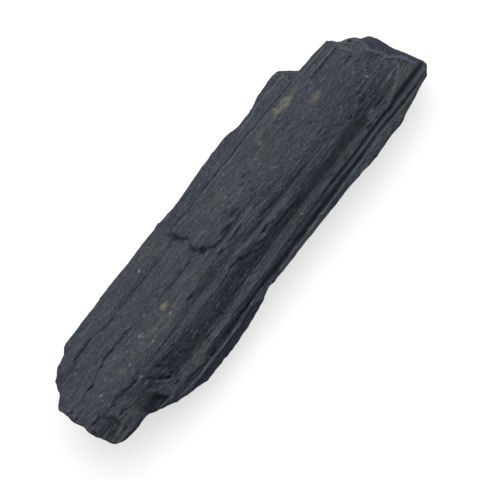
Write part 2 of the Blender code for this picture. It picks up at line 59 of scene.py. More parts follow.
# The solid's own ridge lines, as (x, y, z) points. They go round the section over the top, from its left
# edge, then back underneath. The crown comes first; the flank, the ledges and the underneath start at the
# lines named.
RIDGES = {
    "brow": (
        (-45, 10.9, 14.2), (-35, 10.95, 14.2), (-24, 11.2, 14.4), (-12, 11.5, 14.4), (-4.4, 11.4, 14.4),
        (4.6, 12.1, 14.2), (11.8, 12.35, 14.2), (14.5, 11.95, 14.4), (18.1, 12, 14.2), (21, 12.7, 14),
        (26.2, 12.9, 13.6), (26.9, 12.6, 13.4), (27.5, 11.9, 13.6), (28.3, 10.9, 13.8), (28.8, 10.1, 14.2),
        (29.1, 9.45, 14.8), (45, 9.3, 14.8)),
    "shoulder_foot": (
        (-45, 8.05, 15.8), (-8.6, 8.1, 16), (-7.6, 9.2, 16), (14, 9.4, 16.1), (24, 9.4, 16.1),
        (29.2, 8.8, 16.7), (37, 8.6, 16.7), (45, 8.4, 16.5)),
    "shoulder": (
        (-45, 7.65, 16.4), (-8.6, 7.7, 16.7), (-7.6, 8.85, 16.8), (14, 9.05, 17.1), (24, 8.9, 17.2),
        (30, 7.7, 17.3), (45, 7.5, 17.1)),
    "seam": (
        (-45, 2.7, 16.9), (-37.5, 2.8, 17), (-33, 4, 17.1), (-26, 4.1, 17.1), (-22, 3.4, 17.1),
        (-8, 3.4, 17.15), (-6, 3.5, 17.3), (14, 3.5, 17.6), (30, 3.5, 17.8), (45, 3.3, 17.4)),
    "seam_foot": (
        (-45, 2.3, 16.8), (-40, 2.3, 16.85), (-38.5, 2.4, 16.7), (-36, 2.8, 16.85), (-33, 3.6, 16.8),
        (-26, 3.7, 16.9), (-24, 3.4, 17.05), (-8, 3, 17.1), (-6, 3, 17.3), (14, 3, 17.6), (30, 3, 17.8),
        (45, 2.8, 17.4)),
    "crown_edge": (
        (-45, -2, 17), (-27.8, -1.8, 17.2), (-20, -1.8, 17.2), (-14, -0.4, 17.2), (-9, -0.1, 17.25),
        (-4, 0.2, 17.35), (0, -0.7, 17.3), (13, -0.8, 17.35), (22.6, -0.5, 17.4), (36, -0.4, 17.3),
        (45, -0.4, 17.1)),
    "trough": (
        (-45, -2.8, 16.75), (-27.8, -2.7, 17), (-20, -2.6, 16.95), (-14, -2.1, 16.7), (-9, -2.2, 16.55),
        (-4, -1.7, 16.8), (1, -2.5, 16.7), (11, -2.5, 16.8), (16, -2.1, 17), (22.6, -1.8, 17.15),
        (36, -1.6, 17.1), (45, -1.2, 16.9)),
    "rib": (
        (-45, -3.5, 16.5), (-27.8, -3.6, 16.8), (-20, -3.9, 16.9), (-14, -3.6, 16.7), (-9, -3.5, 16.55),
        (-4, -2.6, 16.8), (1, -3.3, 16.7), (11, -3.5, 16.75), (16, -3.3, 16.85), (22.6, -3.3, 16.95),
        (36, -2.9, 16.85), (45, -2.2, 16.6)),
    "mid_flank": (
        (-45, -3.9, 16.2), (-27.8, -4.2, 16.4), (-20, -4.6, 16.5), (-14, -4.4, 16.2), (-9, -4.1, 16.2),
        (-4, -3.2, 16.4), (1, -4.1, 16.3), (11, -4.3, 16.3), (22.6, -4, 16.5), (30, -3.9, 16.4),
        (36, -3.6, 16.4), (39, -3.4, 16.3), (45, -3, 16.2)),
    "lower_flank": (
        (-45, -5.6, 15.2), (-40, -5.7, 15.2), (-37, -5.2, 15.4), (-35, -6.2, 14.1), (-33, -7, 13.1),
        (-27.8, -7.7, 12.6), (-24, -7.8, 12.5), (-16, -7.3, 12.5), (-8, -6.9, 12.5), (0, -6.4, 12.6),
        (10, -6, 12.8), (18, -5.7, 13.1), (28, -5.45, 13.6), (33, -5.2, 14.3), (36, -5, 14.8),
        (38.5, -4.7, 15.5), (41, -4.4, 15.8), (45, -3.7, 15.8)),
    "lip": (
        (-45, -7.7, 14.8), (-36, -7.9, 14.8), (-35, -8.2, 13), (-31, -9.5, 12.1), (-24, -10.1, 12.1),
        (-20, -9.5, 12.35), (-16, -8.95, 12.35), (-8, -8.5, 12.35), (0, -8.1, 12.45), (8, -7.7, 12.65),
        (12.7, -7.65, 12.75), (16.7, -7.4, 12.95), (26, -7.15, 13.35), (31, -6.9, 13.8), (35, -6.85, 14.2),
        (37, -6.3, 14.8), (40, -6.2, 15.2), (45, -6.1, 15.2)),
    "upper_groove": (
        (-45, -7.9, 14.6), (-36, -8.05, 14.5), (-35, -8.4, 12.7), (-31, -9.7, 11.9), (-24, -10.3, 11.8),
        (-20, -9.7, 12.1), (-16, -9.2, 12.1), (-8, -8.75, 12.15), (0, -8.4, 12.25), (8, -8, 12.4),
        (12.7, -7.95, 12.35), (17, -7.7, 12.2), (24, -7.5, 12.3), (31, -7.25, 12.6), (35, -7.2, 12.9),
        (37.5, -6.85, 13.5), (40, -6.8, 13.8), (45, -6.6, 13.8)),
    "partition": (
        (-45, -8.05, 14.3), (-36, -8.15, 14.2), (-35, -8.5, 12.4), (-31, -9.95, 11.6), (-24, -10.6, 11.4),
        (-20, -10.1, 11.7), (-16, -9.6, 11.75), (-11, -9.3, 11.85), (-5, -9, 11.95), (0, -8.9, 12),
        (8, -8.7, 12.1), (12, -8.5, 12.15), (17, -8.3, 12.3), (20, -8.15, 12.5), (26.2, -8.1, 12.7),
        (36, -7.85, 13.3), (40, -7.7, 13.7), (45, -7.5, 13.9)),
    "lower_groove": (
        (-45, -8.15, 14), (-36, -8.25, 13.8), (-35, -8.6, 11.9), (-31, -10.3, 11.2), (-24, -10.85, 10.8),
        (-20, -10.7, 10.8), (-16, -10.5, 10.6), (-11, -9.85, 10.4), (-5, -9.55, 10.2), (0, -9.5, 10.2),
        (8, -9.3, 10.3), (14, -9.1, 10.5), (20, -8.8, 10.8), (25, -8.7, 11.1), (26.3, -8.7, 11.7),
        (29, -8.55, 11.8), (29.8, -8.5, 11.4), (36, -8.4, 11.8), (41, -8.1, 12.4), (45, -7.9, 12.7)),
    "rim": (
        (-45, -8.3, 13.5), (-36, -8.35, 13.2), (-35, -8.75, 11.6), (-31, -10.6, 10.9), (-27.8, -11.2, 11.1),
        (-24, -11.2, 11.2), (-16, -11.05, 11.1), (-11, -10.35, 11), (-5, -10, 10.9), (5, -9.85, 10.9),
        (14, -9.5, 11.1), (22, -9.15, 11.3), (29, -8.95, 11.7), (36, -8.7, 12.1), (41, -8.4, 12.6),
        (45, -8.15, 12.9)),
    "brink": (
        (-45, -8.4, 11.6), (-36, -8.45, 11.2), (-35.4, -8.5, 10.4), (-34.1, -9.3, 9.6), (-32, -9.7, 8.9),
        (-31.3, -10.3, 8.5), (-30.4, -10.95, 8.2), (-27, -11.9, 8), (-24, -12.75, 7.8), (-20, -12.9, 7.8),
        (-15, -12.75, 7.8), (-12, -12.45, 8), (-8.8, -11.95, 8.8), (-6.5, -11.5, 9.8), (-5, -10.95, 10.3),
        (-4.2, -10.7, 10.5), (0, -10.75, 10.5), (15, -10.6, 10.7), (33, -10.5, 11.2), (34.3, -10.3, 11.3),
        (36, -9.75, 11.6), (39, -9.3, 12), (41, -8.75, 12.2), (45, -8.3, 12.4)),
    "right_furrow": (
        (-45, -7.9, 6.6), (-34, -8, 6.2), (-30, -10, 5.8), (-20, -11.8, 5.6), (-11, -11.4, 5.6),
        (-4, -9.8, 6), (33, -9.6, 6.6), (45, -7.6, 8.4)),
    "right_rib": (
        (-45, -8.2, 5.8), (-34, -8.5, 5.2), (-29, -10.9, 4.8), (-20, -12.3, 4.6), (-11, -11.7, 4.6),
        (-4, -10.3, 5), (33, -10.1, 5.6), (45, -7.8, 7.2)),
    "right_heel": (
        (-45, -7.4, 3.2), (-34, -7.8, 2.8), (-28, -10.4, 2.6), (-20, -11.4, 2.4), (-11, -11, 2.4),
        (-4, -9.6, 2.8), (33, -9.2, 3.2), (40, -7.8, 3.8), (45, -6.8, 4.6)),
    "right_sole": (
        (-45, -5.2, 1.2), (-39, -5.8, 0), (-28, -8.2, 0), (-20, -9, 0), (-11, -8.6, 0), (-4, -7.4, 0),
        (33, -7, 0), (38.5, -6.2, 0), (45, -5, 1.5)),
    "left_sole": (
        (-45, 6, 1), (-39, 6.8, 0), (0, 7.6, 0), (26, 8.2, 0), (33, 6.8, 0), (38.5, 6, 0), (45, 5.2, 1.2)),
    "left_heel": (
        (-45, 9.4, 3.4), (-20, 10.2, 3.2), (0, 10.4, 3.2), (14, 10.9, 3.4), (25.6, 11.4, 3.6),
        (29, 8.9, 3.8), (45, 8.3, 4.4)),
    "left_furrow": (
        (-45, 9.6, 6.2), (-20, 10.2, 6), (0, 10.5, 6.2), (14, 10.9, 6.2), (25.6, 11.6, 6), (29, 8.8, 6.2),
        (45, 8.3, 6.6)),
    "left_wall": (
        (-45, 10.4, 7.4), (-20, 10.9, 7.2), (0, 11.3, 7.4), (14, 11.6, 7.4), (25.6, 12.2, 7.2),
        (28.4, 10, 7.8), (29.2, 9.2, 8), (45, 9, 8.2)),
    "strip_furrow": (
        (-45, 10, 10.8), (-20, 10.4, 11), (0, 10.6, 11), (14, 11, 11), (25.6, 11.8, 10.6), (28.4, 9.8, 11),
        (29.2, 9, 11.2), (45, 8.7, 11.4)),
    "strip_rib": (
        (-45, 10.7, 12.2), (-20, 11.1, 12.4), (0, 11.4, 12.2), (14, 11.6, 12.2), (25.6, 12.5, 11.8),
        (28.4, 10.3, 12.4), (29.2, 9.3, 12.8), (45, 9.1, 12.8)),
}
REGION_STARTS = ("mid_flank", "lower_flank", "brink")

# Where each end is broken off, as (y, x) seen from above, and how high its top edge is, as (y, z).
LEFT_BREAK = (
    (-8.45, -40), (-8.3, -41.2), (-8.05, -42), (-7.6, -42.8), (-7.1, -43.3), (-6.4, -43.6), (-5.7, -43.7),
    (-4.6, -43.95), (-3.6, -44.3), (-2.8, -44.4), (-1.9, -44.5), (-0.9, -44.3), (0, -44.55), (0.8, -44.8),
    (1.6, -44.8), (2.6, -44.65), (3.4, -44.65), (4.5, -44.8), (5.1, -44.2), (5.7, -43.2), (6.2, -42.4),
    (7, -42.1), (7.6, -41.6), (8.25, -41.4), (8.5, -40.6), (9, -40), (9.6, -39), (9.75, -37), (10.3, -36.3),
    (10.9, -35.4), (12, -34),
)
LEFT_TOP = (
    (-8.4, 13.5), (-7.9, 14.5), (-5.4, 15.2), (-3.6, 16.2), (-2, 16.8), (2.5, 16.8), (7.7, 16.4),
    (9.5, 15.2), (11, 14.2),
)
RIGHT_EDGE = (
    (-8.6, 42), (-8.1, 43.4), (-7.4, 44.2), (-6.9, 44.3), (-6.3, 43.8), (-5.2, 43.2), (-4, 43.2),
    (-3, 42.8), (-2, 42), (-1, 41.2), (0, 40.8), (1.2, 40.4), (2.4, 40), (3.3, 40.3), (4.5, 40.1),
    (5.8, 39.8), (7.1, 38), (7.6, 37.5), (8.1, 37.2), (8.7, 37), (9.4, 36.3),
)
RIGHT_BULGE = (
    (-10.4, 34), (-9.8, 35.8), (-9.3, 39), (-8.95, 40.2), (-8.5, 41.6), (-8.3, 43.4), (-7.8, 44.4),
    (-7.2, 44.9), (-6.4, 44.9), (-5.2, 44.5), (-4.1, 44.2), (-3.4, 44), (-2.5, 43.7), (-1.3, 43.3),
    (0, 43.05), (1.2, 42.85), (2.5, 42.7), (3.4, 42.4), (4.1, 41.9), (4.45, 41.5), (4.6, 40.95),
    (4.9, 40.7), (5.7, 40.3), (6.4, 39.6), (7, 38.7), (7.25, 37.9), (7.6, 37.5), (8.1, 37.2), (9.4, 36.6),
)
RIGHT_TOP = (
    (-8.5, 12.4), (-7.2, 13.8), (-6.2, 15), (-5, 15.4), (-3.5, 15.9), (-2.4, 16.5), (-1, 16.8), (0.5, 17),
    (3.3, 17.2), (5, 17), (7.5, 16.6), (9.3, 14.8),
)

# The right end bulges out below its top edge, by the drop where it is widest, and is smoother down to there.
BULGE_DROP, BULGE_POWER = 3.0, 2.5
BULGE_ROUGHNESS = 0.15

# Both ends are undercut towards the sole. Splinters roughen them from a little below the top edge: their
# size, how far apart their ends are, how deep each is scalloped, and where the roughness starts and is full.
END_UNDERCUT = 1.2
SPLINTER_SIZE = 3.4
SPLINTER_STEP, SPLINTER_SCALLOP = 1.4, 1.7
SPLINTER_START, SPLINTER_DROP = 0.6, 3.0
LEFT_SEED, RIGHT_SEED = 11, 23

# Fine splinters on those: size, depth, the share of it at the top edge, and the step to their seed.
FINE_SPLINTER_SIZE, FINE_SPLINTER_DEPTH = 1.1, 0.2
FINE_SPLINTER_LEAST = 0.3
FINE_SEED_STEP = 40

# The crown slopes down to the right end, from a line given as (y, x).
SLOPE_LINE = (
    (-5, 41), (-2.5, 40.2), (-0.5, 37.8), (0.5, 36.8), (2.5, 37.4), (4, 37.9), (5.5, 37.6), (7, 36.7),
    (9.4, 36.2),
)
SLOPE = 0.10

# A raised plate on the crown: its outline (x, y), its height, and the values of x between which it fades
# away. Its wall's width, and how much wider it is where it is worn to a slope, round one y and within a
# reach of it.
PLATE = (
    (-7.9, 8.75), (-7.35, 8), (-7.45, 7), (-7.25, 6.2), (-6.95, 5.75), (-7.2, 5.2), (-7.35, 4.6), (-7, 4),
    (-6.95, 3.2), (-6.1, 2.95), (-5.6, 2.2), (-5.2, 1.75), (-4.5, 1.5), (-3.5, 1.3), (-2.5, 1.2),
    (-2.3, 1.6), (-1.7, 1.9), (-0.9, 2.1), (0.2, 1.9), (1, 1.55), (2.5, 1.6), (4.5, 1.6), (16, 2.6),
    (26, 9.4), (-6, 9.4),
)
PLATE_HEIGHT = 0.5
PLATE_FADE = (-6.0, 10.0)
PLATE_WALL, PLATE_SLOPE = 0.3, 1.3
PLATE_SLOPE_Y, PLATE_SLOPE_REACH = 5.9, 1.5

# Hollows in the top: the outline as (x, y), then how deep each is on its +Y side and on its -Y side.
HOLLOWS = (
    (((-43.1, -2), (-41.6, -1.7), (-40, -2.6), (-39.4, -4.4), (-40.2, -5.8), (-42.7, -6.3), (-43.3, -4.6)),
     0.2, 1),
    (((-35.4, -6.9), (-34, -7.3), (-31.6, -7.1), (-31.2, -8), (-30.7, -8.9), (-33, -9.1), (-34.9, -8.7),
     (-35.8, -7.9)), 1.2, 2.4),
)
HOLLOW_WALL = 0.4

# Places where chips were knocked out of the top: (x, y), half length, half width and depth. The chips' size,
# how far they blur the edge of a place, and how much shallower they are at their crests.
BREAKAGES = (
    ((-28.2, -5.6), 3.2, 1.6, 0.7), ((-36.5, -3.6), 2.4, 1.4, 0.4), ((-11.5, -10.2), 5.5, 0.7, 0.5),
)
BREAKAGE_CHIP = 1.9
BREAKAGE_REACH, BREAKAGE_BLUR = 1.4, 0.5
BREAKAGE_CREST, BREAKAGE_MEAN = 0.6, 0.25
BREAKAGE_SEED = 31

# Columns all round the skin, as (width, height), and how much longer than wide they are.
COLUMNS = ((3.6, 0.30), (1.7, 0.12))
COLUMN_STRETCH = 16
COLUMN_MEAN = 0.5
COLUMN_SEED = 3

# Scallops where the skin is chipped, longer than wide.
CHIP_SIZE = 3.2
CHIP_STRETCH = 1.6
CHIP_DEPTH = 0.40
CHIP_SEED = 9

# Patches of the skin that are chipped, striated and rough: their size, their seed and how far they spread.
CHIPPED = (9.0, 8, 0.35)
STRIATED = ((14, 2.6, 2.6), 51, 0.6)
ROUGH = ((6, 2.2, 2.2), 52, 0.6)

# A more strongly striated band of the crown: its x, its y, how far it fades in each, and how much stronger.
STREAKED_X, STREAKED_Y = (8.0, 38.0), (-3.4, 0.9)
STREAKED_FADE_X, STREAKED_FADE_Y = 4.0, 0.6
STREAKED_MORE = 2.0

# Striations and dashes, as (width, length, height, seed), and grains, as (size, height, seed), over the
# whole skin. The least share of a relief is what is left of it outside its patches.
STRIATIONS = ((1.1, 6.0, 0.05, 60), (0.55, 3.0, 0.045, 61), (0.36, 1.4, 0.04, 62))
STRIATION_LEAST = 0.4
DASHES = ((0.45, 1.4, 0.12, 65), (0.38, 0.8, 0.12, 66))
DASH_SHARPNESS, DASH_THRESHOLD = 2.4, 0.9
GRAINS = ((0.8, 0.05, 70), (0.42, 0.045, 71))
GRAIN_STRETCH = 1.6
GRAIN_LEAST = 0.35

# How strong each relief is in the four regions: crown, flank, ledges and underneath.
COLUMN_SHARES = (0.22, 0.5, 0.4, 1.15)
CHIP_SHARES = (0.35, 1.0, 0.8, 1.0)
FINE_SHARES = (0.7, 2.2, 1.2, 1.2)
WAVE_SHARES = (1.0, 1.6, 1.0, 1.0)

# Waves that move the skin along Y, and how much shorter they are across the crystal. As for all noise below,
# a base value comes first, then (height, scale, seed) for each layer.
WAVES = (0, (0.12, 0.2, 95), (0.05, 0.625, 96))
WAVE_SQUEEZE = 1.6

# How far the +Y side and the -Y side stand out beyond their ridge lines, as (x, millimetres), how far from
# the middle that starts, and over how much it grows to full.
LEFT_OUT = ((-39, 0.1), (-31, 0.24), (-12, 0.22), (-4, 0.05), (0, 0.12), (14, 0.12), (18, 0))
RIGHT_OUT = ((-8, 0), (0, 0.15), (24, 0.15), (34, 0.05), (40, 0))
LEFT_OUT_FROM, RIGHT_OUT_FROM = 8.0, 8.5
OUT_OVER = 2.0

# The relief starts a little above the flat sole and grows to full over a height.
SOLE_TOP, SOLE_FADE = 0.2, 2.0

# Large primes that mix a cell's whole numbers into a repeatable random number.
CELL_PRIMES = (73856093, 19349663, 83492791)
SEED_PRIME, MIX_PRIME = 2654435, 1274126177

# How far apart the skin's points are: along it, across the top and underneath. Ridge lines are as far apart
# as their widest gap at these values of x. Directions out of the skin are smoothed over some facets each
# way.
RING_STEP = 0.32
TOP_STEP = 0.16
UNDER_STEP = 0.60
GAP_PLACES = (-25.0, 0.0, 25.0)
OUTWARD_FACETS = 4
NO_LENGTH = 1e-6

# How many times an end's ring is moved onto its break, and then smoothed. The spacing of the points inside
# it, how many spacings they stay away from it, and the triangulation's code for the inside and its
# tolerance.
BREAK_PASSES = 6
EASE_PASSES = 2
CAP_SPACING = 0.36
CAP_MARGIN = 0.6
INSIDE_EDGES = 1
CAP_TOLERANCE = 1e-6

# The lines and spots below are placed on the finished crystal, which is a little longer and further to +Y.
FEATURE_STRETCH = 1.005
FEATURE_SHIFT = 0.08

# Cracks in the top: the points (x, y) along each, then its width and its depth.
# Each crack is also painted dark along its length, as painted shade.
CRACKS = (
    (((-41.5, 7.85), (-40.9, 7.85), (-40.1, 7.75)), 0.27, 0.22),
    (((-41.3, 7.35), (-40, 7.3), (-38.5, 7.35), (-37, 7.3), (-35.6, 7.35)), 0.27, 0.19),
    (((-37.2, 7.85), (-36.4, 8), (-35.5, 8.1), (-34, 8.1), (-32.5, 8.15), (-31.1, 8.05)), 0.55, 0.38),
    (((-32.1, 7.45), (-31, 7.4), (-29.9, 7.25)), 0.23, 0.15),
    (((-29.6, 7.55), (-28.4, 7.45), (-27, 7.5), (-25.8, 7.5)), 0.39, 0.3),
    (((-25.6, 8.5), (-24.4, 8.3), (-22, 8.3)), 0.17, 0.09),
    (((-24.6, 7.8), (-23, 7.65), (-20, 7.65), (-16, 7.6), (-12, 7.7), (-10.2, 7.75), (-9.2, 7.4)), 0.34,
     0.3),
    (((-9.4, 8.15), (-8.6, 8.15), (-8.1, 8)), 0.45, 0.4), (((-20.4, 8.3), (-16.9, 8.3)), 0.23, 0.15),
    (((-1, -2), (3, -2.1), (6, -1.9), (11, -1.9), (17, -1.6)), 0.8, 0.05),
    (((-44.6, 2.75), (-44.2, 2.5), (-43.6, 2.3)), 0.47, 0.34), (((-44.8, 1.05), (-44.1, 1.05)), 0.35, 0.3),
    (((-41.4, 2.3), (-40.5, 2.1)), 0.23, 0.15),
    (((-39.3, 2.7), (-38.6, 2.7), (-37.9, 2.5), (-37.3, 2.4)), 0.43, 0.34),
    (((-35.1, 3.5), (-34.4, 3.5), (-33.8, 3.5)), 0.27, 0.22),
    (((-33.6, 3.9), (-32.6, 3.95), (-31, 3.95), (-29.7, 4.1)), 0.39, 0.34),
    (((-29.8, 4.05), (-28.8, 4)), 0.31, 0.22), (((-28.4, 4.05), (-27.6, 4.05)), 0.31, 0.26),
    (((-27.3, 4.1), (-25.7, 4.15)), 0.27, 0.22), (((-21.9, 3.2), (-18.5, 3.1), (-16, 3.15)), 0.16, 0.03),
    (((-16.4, 3.15), (-12.2, 3.1), (-10.5, 3.15), (-8.4, 3.35)), 0.35, 0.18),
    (((-35.4, -1.9), (-34.6, -2.5), (-33.6, -2.9), (-32, -3.1)), 0.68, 0.3),
    (((-43.5, -2), (-42.5, -2), (-41.6, -2.3)), 0.46, 0.24),
    (((-41.2, -2.4), (-40.6, -3), (-40.2, -3.3)), 0.31, 0.18), (((-39.8, -3.5), (-39.8, -4.7)), 0.38, 0.21),
    (((-39.5, -4.5), (-38.2, -4.6), (-36.4, -4.9)), 0.46, 0.21),
    (((-38.7, -2.2), (-38, -2.7), (-37.4, -3.1)), 0.31, 0.18),
    (((-30.7, -4), (-30, -4.7), (-29.5, -5.3)), 0.68, 0.36),
    (((-32.1, -4.8), (-31.6, -5.4), (-31.1, -5.9)), 0.42, 0.21),
    (((-29.6, -5.4), (-28.9, -6.2), (-28.2, -6.9), (-27.5, -7.1)), 0.6, 0.5),
    (((-27.4, -6.6), (-26.7, -7.2)), 0.6, 0.5),
    (((-28.3, -4.2), (-27.4, -4.7), (-26.8, -5.3), (-26.2, -5.7)), 0.5, 0.4),
    (((-27, -4.2), (-25, -4.4), (-23.4, -4.5)), 0.5, 0.35), (((-28.5, -8.85), (-27.4, -8.8)), 0.5, 0.4),
    (((-24.1, -7.3), (-23.1, -7.5)), 0.4, 0.24),
    (((-27.1, -10.2), (-25, -10.15), (-23.8, -10.2), (-22, -10.3)), 0.4, 0.24),
    (((-27.3, -11.5), (-25.5, -11.55), (-24, -11.6), (-21.8, -11.5)), 0.56, 0.35),
    (((-24.6, -7.9), (-22, -7.9)), 0.28, 0.17), (((-21.2, -7.95), (-19, -7.8), (-15.8, -7.7)), 0.4, 0.28),
    (((-14.7, -7.6), (-11, -7.5), (-7.8, -7.3)), 0.24, 0.14),
    (((-20.3, -9.45), (-19.2, -9.3), (-18, -8.95)), 0.28, 0.17),
    (((-18.1, -9.3), (-16.4, -9.2)), 0.28, 0.17),
    (((-12.9, -8.75), (-10.5, -8.75), (-7.8, -8.6)), 0.28, 0.21),
    (((-14.5, -3.9), (-12.9, -4.2)), 0.4, 0.3), (((-12.7, -3.75), (-11.5, -3.9)), 0.5, 0.4),
    (((-20.6, -4.4), (-19.4, -4.6)), 0.4, 0.3),
    (((-20.5, -11.3), (-18, -11.25), (-16, -11.25), (-13, -11.2), (-10, -10.95), (-7.9, -10.9)), 0.44,
     0.35),
    (((-6.3, -3.1), (-4.5, -3.15), (-3.3, -3.1)), 0.5, 0.35),
    (((-3.7, -3), (-3.1, -3.4), (-2.5, -3.9)), 0.9, 0.8),
    (((-2.3, -4), (-1.6, -3.6), (-0.9, -3.5)), 0.6, 0.5),
    (((2.1, -3.4), (3.2, -3.5), (4.7, -3.3)), 0.6, 0.45), (((-0.2, -4.7), (2.2, -4.7)), 0.4, 0.3),
    (((4.6, -4.6), (8, -4.5), (12.4, -4.5)), 0.4, 0.3), (((6.5, -5.6), (7.3, -5.9)), 0.4, 0.25),
    (((10, -5.1), (12.2, -5.2)), 0.6, 0.25), (((6.4, -7.75), (8.3, -7.6)), 0.28, 0.17),
    (((8.7, -7.3), (10.5, -7.3)), 0.2, 0.1), (((11.5, -7.1), (13.1, -7.15)), 0.2, 0.1),
    (((13.3, -7.4), (14.5, -7.35)), 0.28, 0.17), (((11.3, -8.1), (12.3, -7.85)), 0.4, 0.24),
    (((12.9, -8.1), (15, -8.15), (16.2, -8.1)), 0.32, 0.21), (((15, -7.55), (16.2, -7.65)), 0.32, 0.21),
    (((22, -6.85), (22.6, -6.6), (23.3, -6.8)), 0.32, 0.24), (((24.7, -6.7), (26.4, -6.65)), 0.28, 0.17),
    (((28.9, -6.3), (30.4, -6.45)), 0.64, 0.32), (((31.3, -6.5), (32.5, -6.45)), 0.36, 0.21),
    (((30, -2.8), (30.8, -3.3), (31.3, -3.8)), 0.6, 0.4),
    (((32.9, -4.9), (34.5, -5), (36, -5.1)), 0.6, 0.3),
    (((33.8, -2.6), (36, -2.6), (37.2, -2.7)), 0.32, 0.12),
    (((35.3, 4.2), (36, 4.15), (37.3, 4.2)), 0.4, 0.3), (((37, 2.95), (37.6, 2.2)), 0.45, 0.3),
    (((28.8, -0.4), (30.5, -0.45), (32.2, -0.4)), 0.24, 0.1), (((28.1, -1.1), (29.4, -1.05)), 0.28, 0.12),
    (((32.2, -1.1), (33.7, -1.1)), 0.32, 0.15), (((32.5, -1.9), (33.9, -1.9)), 0.32, 0.15),
    (((29.4, 8.8), (31, 8.7), (33.8, 8.7), (36, 8.7)), 0.3, 0.2),
    (((29.4, 7.1), (32, 7.1), (34, 7.15), (37, 7.1)), 0.4, 0.25),
    (((-6.4, 9.25), (-4, 9.35), (0, 9.25), (4, 9.4), (10, 9.45), (18, 9.6), (27, 9.65)), 0.35, 0.25),
    (((-5.6, -0.2), (-4.8, -0.1), (-3.8, 0.05)), 0.5, 0.35),
    (((-2.7, 0.1), (-1.5, 0), (0, 0.1), (1.7, 0.3)), 0.5, 0.3), (((5.7, 0.3), (6.5, 0.25)), 0.32, 0.15),
    (((8.3, 0.25), (10, 0.25), (13.7, 0.25)), 0.32, 0.15),
    (((4, -1.35), (5.5, -1.6), (8.1, -1.7)), 0.56, 0.23), (((0.7, 3.75), (1.4, 4.15)), 0.5, 0.35),
    (((2.8, 4.35), (3.5, 4.15)), 0.4, 0.25), (((6.5, 5.3), (6.9, 4.8), (7.7, 4.6)), 0.5, 0.3),
    (((7.8, 5.4), (9.1, 5.4)), 0.5, 0.35), (((7.7, 4.1), (8.8, 4)), 0.3, 0.2),
    (((7.1, 2.75), (7.8, 2.45)), 0.45, 0.25), (((11.8, -0.6), (12.9, -0.7)), 0.28, 0.15),
    (((14, -0.9), (15.4, -1)), 0.28, 0.15), (((16.2, 0.4), (17.3, 0.35)), 0.24, 0.12),
    (((17.8, -0.7), (19.4, -0.8)), 0.28, 0.15), (((20.2, -1.3), (21.4, -1.35)), 0.28, 0.12),
    (((22.4, 0), (24.2, -0.1)), 0.24, 0.1), (((23, -0.9), (25.4, -1)), 0.24, 0.1),
    (((24.8, 0.9), (26.6, 0.8)), 0.24, 0.1),
)
